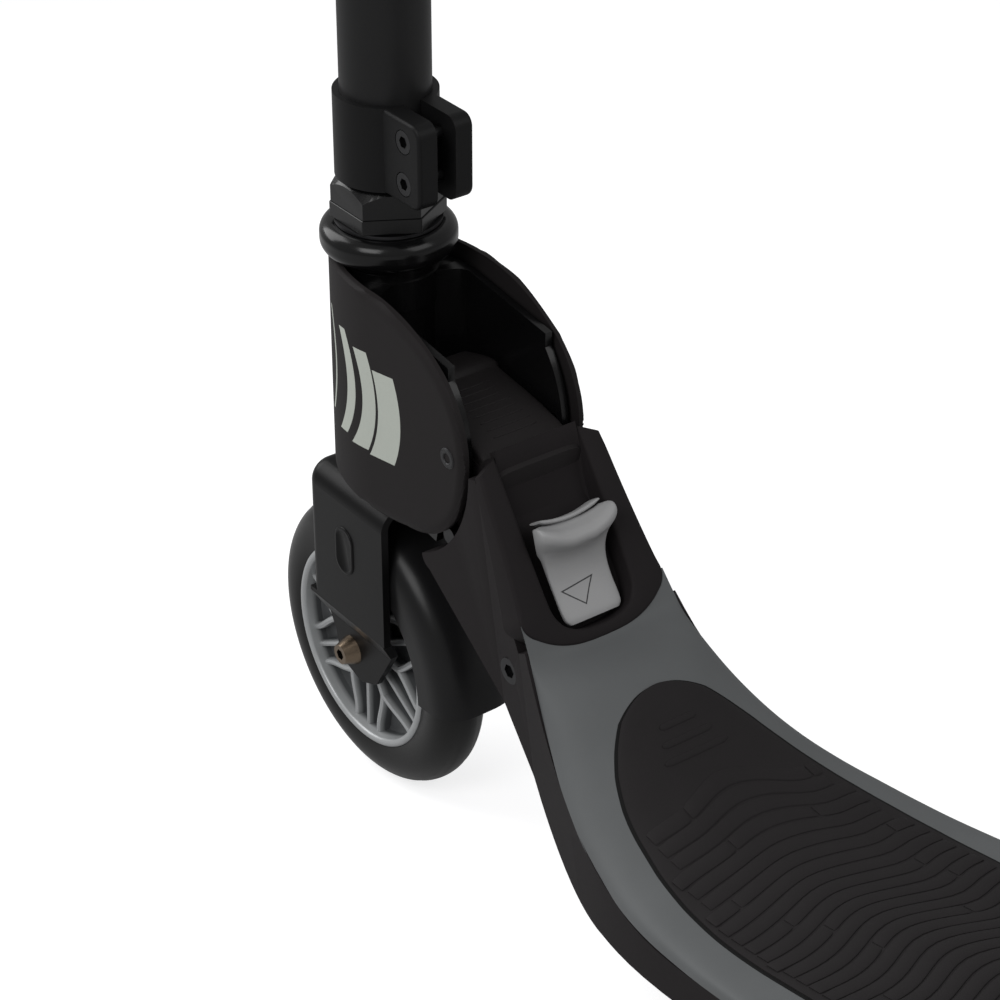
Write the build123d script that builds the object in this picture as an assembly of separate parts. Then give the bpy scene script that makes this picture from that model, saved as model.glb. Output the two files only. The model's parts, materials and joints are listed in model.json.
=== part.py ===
"""Foldable two-wheel kick scooter, pushed by foot, as an assembly of separate pieces."""

from build123d import *
import math
import os

# Millimetres. +X forward, +Y left, +Z up, origin on the ground midway between the axles.

# Overall sizes
wheelbase = 660.0
wheel_diameter = 125.0
rake = 11.0                 # the steering axis leans back by this many degrees
axle_offset = 11.0          # the front axle stands this far ahead of the steering axis
bar_reach = 862.0           # front axle to handlebar, measured along the steering axis
bar_width = 430.0

# Wheels
tyre_width = 24.0
rim_radius = 44.0
rim_lip = 3.2
web_thickness = 7.0
hub_radius = 15.5
hub_width = 23.0
bearing_radius = 11.0
bearing_width = 7.0
axle_radius = 4.0
spoke_count = 6
spoke_width = 4.4

# Fork
fork_inner = 18.4           # half the clear width between the legs
fork_plate = 3.2
leg_front = 20.0            # leg edges, ahead of and behind the axle
leg_rear = 33.0
leg_foot = 21.5             # the legs stop this far above the axle
lug_inner = 12.4
lug_plate = 3.0
lug_radius = 12.5
crown_top = 84.0            # above the axle, along the steering axis

# Steering column, heights above the axle along the steering axis
steerer_radius = 14.8
steerer_bore = 12.4
head_bottom = 98.0
head_top = 181.0
head_radius = 18.6
head_wall = 2.0
cup_radius = 18.4
race_radius = 20.5
ring_radius = 26.0
ring_top = 196.5
thin_nut_height = 6.0
tall_nut_height = 10.8
nut_across = 37.0
collar_bottom = 215.5
collar_top = 248.5
collar_radius = 19.6
ear_reach = 38.0            # clamp ears, measured back from the steering axis
ear_gap = 4.0               # half the slot between the ears
ear_thickness = 8.0
stem_radius = 17.0
stem_bore = 15.2
stem_bottom = 217.0
stem_top = 640.0
inner_radius = 14.0
inner_bore = 12.2
height_travel = 120.0
tube_overlap = 90.0         # left inside the stem at full height
steerer_top = 262.0
inner_bottom = stem_top - height_travel - tube_overlap
head_bore = head_radius - head_wall
lever_axis = 18.5           # the clamp lever's pin, left of the middle

# Fold joint: pivot from the front axle, along and across the steering axis
pivot_back = 46.0
pivot_up = 136.0
fold_angle = 79.0
bracket_inner = 20.2        # half the clear width between the bracket plates
bracket_plate = 3.0
cover_outer = 28.0
cover_wall = 3.2
cover_nose = 15.0           # front of the covers, ahead of the axle
cover_straight = 35.0       # the flat sides start this far behind the axle
cover_bottom = 91.0
cover_top = 183.4
knuckle_half = 19.6
knuckle_radius = 12.2
pivot_radius = 5.0
lock_angle = 226.0          # where the lock pin rests, round the pivot from forward
lock_reach = 50.0           # lock pin centre to pivot
lock_pin_radius = 3.5
lock_travel = 5.0
push_reach = 24.6           # lock pin to the cross pin that the lever pushes
push_play = 1.1             # free play between the lever and the cross pin
cross_radius = 2.2
lock_relief = 46.0          # plate edge that the lock pin clears
neck_relief = 53.0          # neck edge that the covers clear

# Neck and deck
neck_half = 27.3            # half width at the top of the neck
panel_depth = 10.0
recess_half = 18.5
recess_depth = 8.0
deck_half = 68.0
deck_bottom = 38.0
deck_edge = 52.8            # seam between the black frame and the grey shell
deck_top = 58.5
pad_half = 49.0
pad_top = 60.3
deck_round = 34.0
tail_gap = 9.0              # deck tail to rear tyre

# Release lever, in the slope of the neck panel
lever_half = 17.0
lever_pin_radius = 2.5

# Rear fork and brake
rear_inner = 15.6
rear_plate = 3.5
brake_half = 16.0
brake_sheet = 2.4
brake_gap = 5.5

# Handlebar
bar_radius = 14.0
bar_bore = 12.0
grip_radius = 17.5
grip_length = 122.0

# Clearances
running = 0.05              # radial, pin or shaft in its bore
sliding = 0.2               # telescoping tube in its bush
gap = 0.3                   # between faces that pass each other
seat = 0.02                 # radial, pressed or screwed pieces of one body

wheel_radius = wheel_diameter / 2
front_x = wheelbase / 2
rear_x = -wheelbase / 2
sin_rake = math.sin(math.radians(rake))
cos_rake = math.cos(math.radians(rake))


# Frames and small helpers

def lean(along, up):
    """Point given from the front axle in the leaning frame, as (x, z) above the ground."""
    x = front_x + along * cos_rake - up * sin_rake
    z = wheel_radius + along * sin_rake + up * cos_rake
    return (x, z)


def in_lean(shape):
    """Places a shape drawn about the front axle with its Z along the steering axis."""
    return Location((front_x, 0, wheel_radius), (0, -rake, 0)) * shape


def on_deck(back, z):
    """Point on the deck's side view, given back from the front axle and above the ground."""
    return (front_x - back, z)


def side_plate(outline, low, high):
    """Side-view wire filled in and extruded across the scooter from low to high."""
    face = Plane.XZ.offset(-high) * make_face(outline)
    return extrude(face, amount=high - low, dir=(0, -1, 0))


def polygon(points, low, high):
    return side_plate(Polyline(*points, close=True).edges(), low, high)


def rod_y(radius, low, high, x=0.0, z=0.0):
    return Pos(x, (low + high) / 2, z) * Rot(90, 0, 0) * Cylinder(radius, high - low)


def rod_z(radius, low, high, x=0.0, y=0.0):
    return Pos(x, y, (low + high) / 2) * Cylinder(radius, high - low)


def tube_z(outer, bore, low, high, x=0.0):
    return rod_z(outer, low, high, x) - rod_z(bore, low - 1, high + 1, x)


def block(x0, x1, y0, y1, z0, z1):
    size = Box(x1 - x0, y1 - y0, z1 - z0)
    return Pos((x0 + x1) / 2, (y0 + y1) / 2, (z0 + z1) / 2) * size


def mirrored(shape):
    return [shape, mirror(shape, about=Plane.XZ)]


def hexagon_z(across, low, high, x=0.0):
    nut = Pos(x, 0, low) * extrude(RegularPolygon(across / 2, 6, major_radius=False), amount=high - low)
    return nut


def save(name, *shapes):
    """Writes one node, with every solid of the shapes given."""
    solids = [solid for shape in shapes for solid in shape.solids()]
    piece = solids[0] if len(solids) == 1 else Compound(children=solids)
    piece.label = name
    export_step(piece, f"parts/{name}.step")


# Wheels, drawn about the wheel centre

def tyre():
    half = tyre_width / 2
    crown = wheel_radius - half
    section = Polyline((rim_radius, half), (rim_radius, -half), (crown, -half))
    arc = ThreePointArc((crown, -half), (wheel_radius, 0), (crown, half))
    face = make_face(section.edges() + [arc, Line((crown, half), (rim_radius, half))])
    return Rot(-90, 0, 0) * revolve(Plane.XZ * face, Axis.Z)


def spoke():
    """One rib from the hub that forks in two before the rim."""
    start = hub_radius - 1
    fork_at = (hub_radius + rim_radius) / 2
    end = rim_radius - rim_lip + 0.6
    spread = math.radians(180 / spoke_count) * 0.56
    stem_line = Line((start, 0), (fork_at, 0))
    ribs = trace(stem_line, line_width=spoke_width)
    for side in (-1, 1):
        tip = (end * math.cos(spread), side * end * math.sin(spread))
        ribs += trace(Line((fork_at - 2, 0), tip), line_width=spoke_width * 0.8)
    half = tyre_width / 2 - 2.4
    return Pos(0, 0, -half) * extrude(ribs, amount=2 * half)


def rim():
    half = tyre_width / 2 + 0.6
    ring = Cylinder(rim_radius, 2 * half) - Cylinder(rim_radius - rim_lip, 2 * half + 1)
    web = Cylinder(rim_radius - rim_lip + 0.5, web_thickness)
    hub = Cylinder(hub_radius, hub_width)
    wheel = ring + web + hub
    for index in range(spoke_count):
        wheel += Rot(0, 0, index * 360 / spoke_count) * spoke()
    wheel -= Cylinder(bearing_radius + seat, hub_width + 1)
    stop = Cylinder(bearing_radius + 1, hub_width - 2 * bearing_width)
    wheel += stop - Cylinder(axle_radius + 3.2, hub_width)
    return Rot(90, 0, 0) * wheel


def bearings():
    """Pair of ball races as plain rings with a seal groove on both faces."""
    pair = []
    for side in (-1, 1):
        centre = side * (hub_width - bearing_width) / 2
        ring = Cylinder(bearing_radius, bearing_width) - Cylinder(axle_radius + running, bearing_width + 1)
        groove = Cylinder(bearing_radius - 2, 1.0) - Cylinder(axle_radius + 2, 1.0)
        for face in (-1, 1):
            ring -= Pos(0, 0, face * bearing_width / 2) * groove
        pair.append(Rot(90, 0, 0) * Pos(0, 0, centre) * ring)
    return pair


def axle_spacers(outer_face):
    """Sleeve between the two bearings, and a washer between each bearing and its plate."""
    half = hub_width / 2
    sleeve = rod_y(axle_radius + 2, -half + bearing_width + 0.05, half - bearing_width - 0.05)
    washer = rod_y(axle_radius + 2.4, half + 0.02, outer_face)
    bore = rod_y(axle_radius + running, -30, 30)
    return [sleeve - bore] + mirrored(washer - bore)


def cone_head(face, rise=6.0, base=6.4, tip=4.2):
    """Conical socket head that stands on a face, its socket open at the tip."""
    cone = Cone(base, tip, rise)
    cone = Pos(0, face + rise / 2, 0) * Rot(-90, 0, 0) * cone
    socket = extrude(RegularPolygon(2.4, 6), amount=rise)
    return cone - Pos(0, face + 1.5, 0) * Rot(-90, 0, 0) * socket


def axle_bolt(face):
    """Axle screwed into a sleeve nut on the other side."""
    return rod_y(axle_radius, -face - 1, face + 0.5) + cone_head(face)


def axle_nut(face):
    head = mirror(cone_head(face + 0.02), about=Plane.XZ)
    return head - rod_y(axle_radius + seat, -face - 1.5, face)


# Fork and steering column, drawn in the leaning frame about the front axle

def fork():
    outer = fork_inner + fork_plate
    wrap = block(-leg_rear, leg_front, -outer, outer, leg_foot, crown_top)
    wrap = fillet(wrap.edges().filter_by(Axis.X).group_by(Axis.Z)[-1], 9)
    wrap = fillet(wrap.edges().filter_by(Axis.Y).group_by(Axis.Z)[-1].sort_by(Axis.X)[-1], 6)
    ceiling = crown_top - fork_plate
    hollow = block(-leg_rear - 1, leg_front + 1, -fork_inner, fork_inner, leg_foot - 1, ceiling)
    hollow = fillet(hollow.edges().filter_by(Axis.X).group_by(Axis.Z)[-1], 9 - fork_plate)
    body = wrap - hollow
    joggle = [(lug_inner, leg_foot - 9), (fork_inner, leg_foot + 2), (fork_inner + fork_plate, leg_foot + 2),
              (fork_inner + fork_plate, leg_foot), (lug_inner + lug_plate, leg_foot - 10.5),
              (lug_inner + lug_plate, -lug_radius - 1), (lug_inner, -lug_radius - 1)]
    bend = extrude(Plane.YZ.offset(-leg_rear) * make_face(Polyline(*joggle, close=True).edges()),
                   amount=leg_rear + leg_front)
    lug_line = [(-leg_rear, leg_foot + 4), (leg_front, leg_foot + 4), (leg_front, leg_foot - 3),
                (lug_radius - 1, 4), (lug_radius - 4, -8), (-6, -lug_radius), (-17, -8), (-leg_rear + 4, 12)]
    bend = bend & polygon(lug_line, 0, 40)
    for leg in mirrored(bend):
        body += leg
    body -= rod_y(axle_radius + running, -outer - 1, outer + 1)
    body -= rod_z(steerer_radius + seat, crown_top - 2 * fork_plate, crown_top + 1, -axle_offset)
    return body


def steerer():
    tube = tube_z(steerer_radius, steerer_bore, crown_top - fork_plate, steerer_top, -axle_offset)
    weld = tube_z(steerer_radius + 2, steerer_radius - 0.5, crown_top, crown_top + 2, -axle_offset)
    return tube + weld


def front_guard():
    """Curved shell over the rear quarter of the wheel, with flat cheeks up to the fork crown."""
    outer = wheel_radius + 9.5
    inner = outer - 2.2
    half = fork_inner - 0.6
    ring = rod_y(outer, -half, half) - rod_y(inner, -half + 1.8, half - 1.8)
    ring = fillet(ring.edges().filter_by(GeomType.CIRCLE).filter_by(lambda e: e.radius > outer - 0.1), 5)
    ring -= rod_y(inner - 7, -half - 1, half + 1)
    sector = polygon([(0, 0), (-2, 90), (-110, 90), (-110, -8), (-30, -2)], -half, half)
    shell = ring & sector
    roof = block(-leg_rear + 2, 6, -12, 12, outer - 1.5, crown_top - fork_plate - 0.02)
    shell += roof - rod_y(inner + 1, -half, half)
    return shell


def lower_headset():
    """Cup pressed into the foot of the head tube."""
    bore = steerer_radius + 0.5
    cup = tube_z(cup_radius, bore, head_bottom - 6.5, head_bottom - seat, -axle_offset)
    cup += tube_z(head_bore - seat, bore, head_bottom - 1, head_bottom + 9, -axle_offset)
    return cup - tube_z(bore + 2.2, bore - 0.1, head_bottom - 7, head_bottom - 4, -axle_offset)


def crown_race():
    """Race on the fork crown, its neck standing inside the lower cup."""
    race = tube_z(race_radius, steerer_radius + seat, crown_top + 2.1, head_bottom - 7, -axle_offset)
    return race


def upper_headset():
    """Wide rounded cup on top of the head tube."""
    x = -axle_offset
    bore = steerer_radius + 0.5
    cup = tube_z(ring_radius, bore, head_top + 3.2, ring_top, x)
    cup = fillet(cup.edges().filter_by(GeomType.CIRCLE).filter_by(lambda e: e.radius > ring_radius - 0.1), 5)
    cup += tube_z(cup_radius, bore, head_top + seat, head_top + 4, x)
    cup += tube_z(head_bore - seat, bore, head_top - 9, head_top + 1, x)
    return cup - tube_z(bore + 3.2, bore - 0.1, ring_top - 7, ring_top + 1, x)


def headset_balls(level):
    """Caged ball bearing as one ring of balls joined by its cage."""
    return Pos(-axle_offset, 0, level) * Torus(steerer_radius + 1.6, 0.95)


def upper_race():
    bore = steerer_radius + seat
    race = tube_z(bore + 2.6, bore, ring_top - 3.6, ring_top + 0.6, -axle_offset)
    return race + tube_z(race_radius, bore, ring_top + gap, ring_top + 1.6, -axle_offset)


def head_nut(low, height, across, chamfer_top):
    nut = hexagon_z(across, low, low + height, -axle_offset)
    if chamfer_top:
        cone = Cone(across / 2 + 6.5, across / 2 - 1.5, 8)
        chamfered = Pos(-axle_offset, 0, low + height - 4) * cone
        nut &= chamfered + rod_z(30, low, low + height - 7.9, -axle_offset)
    return nut - rod_z(steerer_radius + seat, low - 1, low + height + 1, -axle_offset)


def clamp_collar():
    """Split collar whose two ears point back, with two screws across."""
    x = -axle_offset
    body = rod_z(collar_radius, collar_bottom, collar_top, x)
    ear_face = ear_gap + ear_thickness
    ears = block(x - ear_reach, x, -ear_face, ear_face, collar_bottom, collar_top)
    ears = fillet(ears.edges().filter_by(Axis.Y).group_by(Axis.X)[0], 5)
    ears = fillet(ears.edges().filter_by(Axis.Z).group_by(Axis.X)[0], 1.5)
    body += ears
    body -= rod_z(stem_radius + seat, collar_bottom - 1, collar_top + 1, x)
    body -= block(x - ear_reach - 1, x, -ear_gap, ear_gap, collar_bottom - 1, collar_top + 1)
    for level in collar_screw_levels():
        across = ear_gap + ear_thickness
        body -= rod_y(2.6, -across - 1, across + 1, x - 28, level)
        body -= rod_y(4.7, across - 3.5, across + 1, x - 28, level)
    return body


def collar_screw_levels():
    third = (collar_top - collar_bottom) / 4
    return (collar_bottom + third, collar_top - third)


def socket_screw(head_face, length, x, z, radius=2.5, head_radius=4.4, head_height=3.4):
    """Screw along Y, head outward at head_face and shank towards negative Y."""
    screw = rod_y(head_radius, head_face - head_height, head_face, x, z)
    screw += rod_y(radius, head_face - length, head_face - head_height + 0.1, x, z)
    socket = extrude(RegularPolygon(radius * 0.95, 6), amount=2.2)
    return screw - Pos(x, head_face - 2.1, z) * Rot(-90, 0, 0) * socket


def collar_screws():
    across = ear_gap + ear_thickness
    return [socket_screw(across - 0.1, 2 * across - 3, -axle_offset - 28, z) for z in collar_screw_levels()]


def stem_tube():
    """Outer tube, slotted at the foot for the collar and along the back for the guide key."""
    x = -axle_offset
    tube = tube_z(stem_radius, stem_bore, stem_bottom, stem_top, x)
    tube -= block(x - stem_radius - 1, x, -1.5, 1.5, stem_bottom - 1, collar_top - 4)
    tube -= block(x - stem_radius - 1, x, -3.2, 3.2, key_level() - 6, stem_top + 1)
    return tube


def key_level():
    return inner_bottom + 26


def stem_bush():
    """Plastic bush in the top of the stem that the inner tube slides in."""
    x = -axle_offset
    bush = tube_z(stem_bore - seat, inner_radius + sliding, stem_top - 40, stem_top + 1, x)
    bush += tube_z(stem_radius, inner_radius + sliding, stem_top + 0.02, stem_top + 2.5, x)
    return bush - block(x - stem_radius - 1, x, -3.2, 3.2, stem_top - 41, stem_top + 3)


def height_clamp():
    """Upper split collar with its skewer bore, ears to the back."""
    x = -axle_offset
    low = stem_top - 34
    high = stem_top - 2
    body = rod_z(stem_radius + 4, low, high, x)
    ears = block(x - 32, x, -12, 12, low + 3, high - 3)
    body += fillet(ears.edges().filter_by(Axis.Y).group_by(Axis.X)[0], 6)
    body -= rod_z(stem_radius + seat, low - 1, high + 1, x)
    body -= block(x - 33, x, -2.2, 2.2, low - 1, high + 1)
    body -= rod_y(3 + running, -13, 13, x - 25, (low + high) / 2)
    return body


def clamp_level():
    return stem_top - 18


def skewer():
    """Rod across the ears, with a nut on the right and an eye for the cam on the left."""
    x = -axle_offset - 25
    z = clamp_level()
    rod = rod_y(3, -18, lever_axis, x, z)
    nut = rod_y(6.5, -17.5, -12.05, x, z)
    eye = rod_z(4.6, z - 3.5, z + 3.5, x, lever_axis)
    return rod + nut + eye - rod_z(2.5 + running, z - 8, z + 8, x, lever_axis)


def cam_pin():
    z = clamp_level()
    return rod_z(2.5, z - 7.6, z + 7.6, -axle_offset - 25, lever_axis)


def clamp_lever():
    """Cam lever that lies forward along the stem's left side when it is shut."""
    x = -axle_offset - 25
    z = clamp_level()
    cam = rod_z(6.2, z - 7.4, z + 7.4, x, lever_axis)
    arm = block(x, x + 46, stem_radius + 4.6, lever_axis + 6.2, z - 7.4, z + 7.4)
    cam += fillet(arm.edges().filter_by(Axis.Y).group_by(Axis.X)[-1], 6)
    cam -= rod_z(2.5 + running, z - 9, z + 9, x, lever_axis)
    cam -= rod_z(5.4, z - 3.8, z + 3.8, x, lever_axis)
    cam -= block(x - 8, x + 4, 9, lever_axis, z - 3.8, z + 3.8)
    return cam - block(x - 8, x, lever_axis - 1, lever_axis + 4.8, z - 3.8, z + 3.8)


def inner_tube():
    return tube_z(inner_radius, inner_bore, inner_bottom, bar_reach, -axle_offset) \
        - rod_y(bar_radius + seat, -40, 40, -axle_offset, bar_reach)


def guide_key():
    """Stud in the inner tube that runs in the stem's slot and stops the bar turning."""
    x = -axle_offset
    key = Pos(x - inner_radius - 0.4, 0, key_level()) * Rot(0, 90, 0) * Cylinder(3, 4.4)
    return key & tube_z(stem_radius - 0.2, inner_radius + 0.01, key_level() - 4, key_level() + 4, x)


def handlebar():
    half = bar_width / 2 - 3
    bar = rod_y(bar_radius, -half, half, -axle_offset, bar_reach)
    return bar - rod_y(bar_bore, -half - 1, half + 1, -axle_offset, bar_reach)


def tee_joint():
    """Short moulded sleeve over the weld between the bar and the tube."""
    x = -axle_offset
    sleeve = rod_y(bar_radius + 3, -24, 24, x, bar_reach)
    sleeve += rod_z(inner_radius + 3, bar_reach - 46, bar_reach, x)
    sleeve = fillet(sleeve.edges().filter_by(GeomType.CIRCLE), 1.2)
    sleeve -= rod_y(bar_radius + seat, -25, 25, x, bar_reach)
    return sleeve - rod_z(inner_radius + seat, bar_reach - 47, bar_reach, x)


def grips():
    """Ribbed rubber grips with closed ends."""
    end = bar_width / 2
    x = -axle_offset
    sleeve = rod_y(grip_radius, end - grip_length, end, x, bar_reach)
    sleeve = fillet(sleeve.edges().filter_by(GeomType.CIRCLE), 2.5)
    for index in range(9):
        y = end - grip_length + 14 + index * 11
        ring = rod_y(grip_radius + 1, y, y + 3, x, bar_reach)
        sleeve -= ring - rod_y(grip_radius - 1, y - 1, y + 4, x, bar_reach)
    sleeve -= rod_y(bar_radius + seat, 0, end - 2.98, x, bar_reach)
    return mirrored(sleeve)


# Fold bracket and covers, in the leaning frame

def pivot_point(angle, radius):
    """Point round the fold pivot, the angle counted from forward through up."""
    a = math.radians(angle)
    return (-pivot_back + radius * math.cos(a), pivot_up + radius * math.sin(a))


def bracket_outline():
    """Plate edge: straight along the head tube, relieved where the lock pin passes, with two stops."""
    front = 30.0
    top = head_top - 3
    foot = head_bottom + 1
    low_stop = lock_angle + 12
    high_stop = lock_angle - fold_angle - 12
    upper = pivot_point(high_stop, lock_relief + 4)
    notch_top = pivot_point(high_stop + 5, lock_relief)
    notch_low = pivot_point(low_stop - 5, lock_relief)
    lower = pivot_point(low_stop, lock_relief + 4)
    middle = pivot_point((high_stop + low_stop) / 2, lock_relief)
    return [
        Line((front, top), (-26, top)),
        ThreePointArc((-26, top), (-52, top - 3), upper),
        Line(upper, notch_top),
        ThreePointArc(notch_top, middle, notch_low),
        Line(notch_low, lower),
        Line(lower, (-34, foot)),
        Line((-34, foot), (front, foot)),
        Line((front, foot), (front, top)),
    ]


def bracket_plan():
    """Section across the steering axis: a round nose that flares into two straight cheeks."""
    x = -axle_offset
    outer = bracket_inner + bracket_plate
    half = [
        ThreePointArc((x + head_radius, 0), (x + head_radius * 0.707, head_radius * 0.707), (x, head_radius)),
        Line((x, head_radius), (x - 22, outer)),
        Line((x - 22, outer), (-120, outer)),
        Line((-120, outer), (-120, bracket_inner)),
        Line((-120, bracket_inner), (x - 24, bracket_inner)),
        Spline((x - 24, bracket_inner), (x - 19, 16), (x - 15, 0), tangents=[(1, 0), (0, -1)]),
        Line((x - 15, 0), (x + head_radius, 0)),
    ]
    return make_face(half)


def fold_bracket():
    """Head tube in one with two cheeks that reach back past the pivot."""
    x = -axle_offset
    half = extrude(Pos(0, 0, 60) * bracket_plan(), amount=160)
    body = half + mirror(half, about=Plane.XZ)
    body &= side_plate(bracket_outline(), -40, 40)
    body += rod_z(head_radius, head_bottom, head_top, x)
    body += rod_z(head_radius + 0.6, head_top - 15, head_top - 3, x)
    body -= rod_z(head_bore, 60, 220, x)
    body -= rod_y(pivot_radius + running, -40, 40, -pivot_back, pivot_up)
    return body - rod_y(2.0, -40, 40, *cover_screw_place())


def cover_screw_place():
    return (-87.0, pivot_up + 2.5)


def cover_outline(inset=0.0):
    """Rounded side cover, with inset drawn in from the edge at the back."""
    front = cover_nose + 10
    top = cover_top - inset
    foot = cover_bottom + inset
    back = (-94.5 + inset, 150)
    return [
        Line((front, cover_top), (-30, cover_top)),
        Line((-30, cover_top), (-34, top)),
        ThreePointArc((-34, top), (-62, 179.5 - inset), (-82 + inset * 0.7, 169 - inset * 0.7)),
        ThreePointArc((-82 + inset * 0.7, 169 - inset * 0.7), back, (-95.5 + inset, 130)),
        ThreePointArc((-95.5 + inset, 130), (-84 + inset * 0.8, 106 + inset * 0.7), (-60, foot + 4)),
        ThreePointArc((-60, foot + 4), (-46, foot + 1), (-32, foot)),
        Line((-32, foot), (-28, cover_bottom)),
        Line((-28, cover_bottom), (front, cover_bottom)),
        Line((front, cover_bottom), (front, cover_top)),
    ]


def cover_plan(inward):
    """Half section of the covers: an elliptical nose and a flat side, drawn inward by some thickness."""
    long_half = cover_nose + cover_straight - inward
    wide_half = cover_outer - inward
    nose = EllipticalCenterArc((-cover_straight, 0), long_half, wide_half, 0, arc_size=90)
    return make_face([
        nose,
        Line(nose @ 1, (-120, wide_half)),
        Line((-120, wide_half), (-120, 0)),
        Line((-120, 0), nose @ 0),
    ])


def side_cover():
    """Left cover: a flat side that wraps round the head tube, with a sloping rim at the back."""
    skin = extrude(Pos(0, 0, 60) * (cover_plan(0) - cover_plan(cover_wall)), amount=160)
    skin -= block(-130, 40, -5, gap / 2, 50, 230)
    low = skin & side_plate(cover_outline(), 0, cover_outer - 1.6)
    high = skin & side_plate(cover_outline(3.2), 0, cover_outer + 1)
    bevel_faces = [Plane.XZ.offset(-(cover_outer - 1.62)) * make_face(cover_outline()),
                   Plane.XZ.offset(-cover_outer) * make_face(cover_outline(3.2))]
    body = low + high + (skin & loft(bevel_faces))
    body -= rod_y(10.5, 0, cover_outer - 1.4, -pivot_back, pivot_up)
    x, z = cover_screw_place()
    body -= rod_y(2.2, 0, 40, x, z)
    return body - Pos(x, cover_outer - 1.2, z) * Rot(-90, 0, 0) * Cone(2.3, 5.0, 2.5)


def cover_screw():
    x, z = cover_screw_place()
    head = Pos(x, cover_outer - 1.25, z) * Rot(-90, 0, 0) * Cone(2.1, 4.8, 2.4)
    shank = rod_y(1.95, bracket_inner + 0.6, cover_outer - 2, x, z)
    socket = extrude(RegularPolygon(1.7, 6), amount=3)
    return head + shank - Pos(x, cover_outer - 1.6, z) * Rot(-90, 0, 0) * socket


# Neck and deck, drawn in the ground frame

pivot_x, pivot_z = lean(-pivot_back, pivot_up)
lock_x, lock_z = lean(*pivot_point(lock_angle, lock_reach))

panel_top = on_deck(131.0, 177.0)
panel_foot = on_deck(160.0, 113.0)
panel_run = math.dist(panel_top, panel_foot)
down_x = (panel_foot[0] - panel_top[0]) / panel_run
down_z = (panel_foot[1] - panel_top[1]) / panel_run


def on_panel(along, out):
    """Point on the slope of the neck panel: down it from its top, and out from its face."""
    return (panel_top[0] + along * down_x + out * down_z, panel_top[1] + along * down_z - out * down_x)


def tail_x():
    return rear_x + wheel_radius + tail_gap


def plan_outline():
    """Half widths of the neck and deck in plan, joined by smooth curves."""
    neck_front = front_x - 70
    neck_back = front_x - 148
    wide = front_x - 300
    widest = (wide, deck_half - 3.5)
    shoulder = [(neck_back, neck_half + 4), (front_x - 190, 46.5), (front_x - 230, 57.9), widest]
    curve = Spline(*shoulder, tangents=[(-1, 0.35), (-1, 0.06)])
    tail = tail_x()
    return [
        Line((neck_front, 0), (neck_front, neck_half)),
        Line((neck_front, neck_half), (front_x - 128, neck_half)),
        Line((front_x - 128, neck_half), (neck_back, neck_half + 4)),
        curve,
        Line((wide, deck_half - 3.5), (wide - 60, deck_half)),
        Line((wide - 60, deck_half), (tail + deck_round, deck_half)),
        RadiusArc((tail + deck_round, deck_half), (tail, deck_half - deck_round), -deck_round),
        Line((tail, deck_half - deck_round), (tail, 0)),
        Line((tail, 0), (neck_front, 0)),
    ]


def plan_body(low, high):
    half = extrude(Pos(0, 0, low) * make_face(plan_outline()), amount=high - low)
    return half + mirror(half, about=Plane.XZ)


def seam_curve(lift=0.0):
    """Side view of the seam between the black frame and the grey shell, raised by lift."""
    slope_top = on_panel(46 - lift, 0)
    knee = on_deck(169 + lift * 0.8, 98.0 + lift * 0.6)
    sag = on_deck(193 + lift * 0.5, 75.0 + lift * 0.8)
    low = on_deck(230, 59.0 + lift)
    flat = on_deck(290, deck_edge + lift)
    return Spline(slope_top, knee, sag, low, flat, tangents=[(down_x, down_z), (-1, 0)])


def frame_body():
    """Black hollow frame: neck sides and the deck's tray, under the seam."""
    seam = seam_curve()
    start = seam @ 0
    end = seam @ 1
    tail = tail_x()
    pivot = (pivot_x, pivot_z)
    outline = [
        seam,
        Line(end, (tail, deck_edge)),
        Line((tail, deck_edge), (tail, deck_bottom)),
        Line((tail, deck_bottom), on_deck(214, deck_bottom)),
        ThreePointArc(on_deck(214, deck_bottom), on_deck(188, 40.5), on_deck(154, 59.6)),
        Line(on_deck(154, 59.6), on_deck(127, 90)),
        Line(on_deck(127, 90), on_deck(88, 130.5)),
        ThreePointArc(on_deck(88, 130.5), on_deck(84.6, 134.5), on_deck(86.5, 139.5)),
        Line(on_deck(86.5, 139.5), on_deck(104, 176)),
        Line(on_deck(104, 176), panel_top),
        Line(panel_top, start),
    ]
    body = side_plate(outline, -deck_half, deck_half) & plan_body(0, 260)
    body -= rod_y(neck_relief, -deck_half, deck_half, *pivot)
    return body


def knuckle():
    """Narrow tongue of the neck that turns between the bracket plates."""
    top_front = lean(-pivot_back, pivot_up + knuckle_radius - 4.4)
    top_back = lean(-102, 135)
    low_back = lean(-86, 84)
    low_front = lean(-56, 126)
    under_panel = on_panel(14, -panel_depth - 2)
    corners = [top_front, top_back, under_panel, on_deck(128, 108), low_back, low_front]
    tongue = polygon(corners, -knuckle_half, knuckle_half)
    boss = rod_y(knuckle_radius - 4.4, -knuckle_half, knuckle_half, pivot_x, pivot_z)
    return tongue + boss


def lock_slot(half, low, high, width):
    """Radial slot from the pivot, for the lock pin and its carriage."""
    x, z = lean(*pivot_point(lock_angle, (low + high) / 2))
    slot = Box(high - low, 2 * half, width)
    return Pos(x, 0, z) * Rot(0, -(lock_angle + rake), 0) * slot


def lever_pin_place():
    return on_panel(53, -13.2)


def recess():
    """Hollow in the panel in front of the lever, and the well that the lever works in."""
    mouth = [on_panel(4, 1), on_panel(51, 1), on_panel(51, -recess_depth), on_panel(16, -recess_depth)]
    return polygon(mouth, -recess_half, recess_half)


def lever_well():
    corners = [on_panel(25, -recess_depth + 1), on_panel(62, 1), on_panel(66, -12), on_panel(66, -42),
               on_panel(36, -46), on_panel(25, -18)]
    return polygon(corners, -9.0, 9.0)


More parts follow.
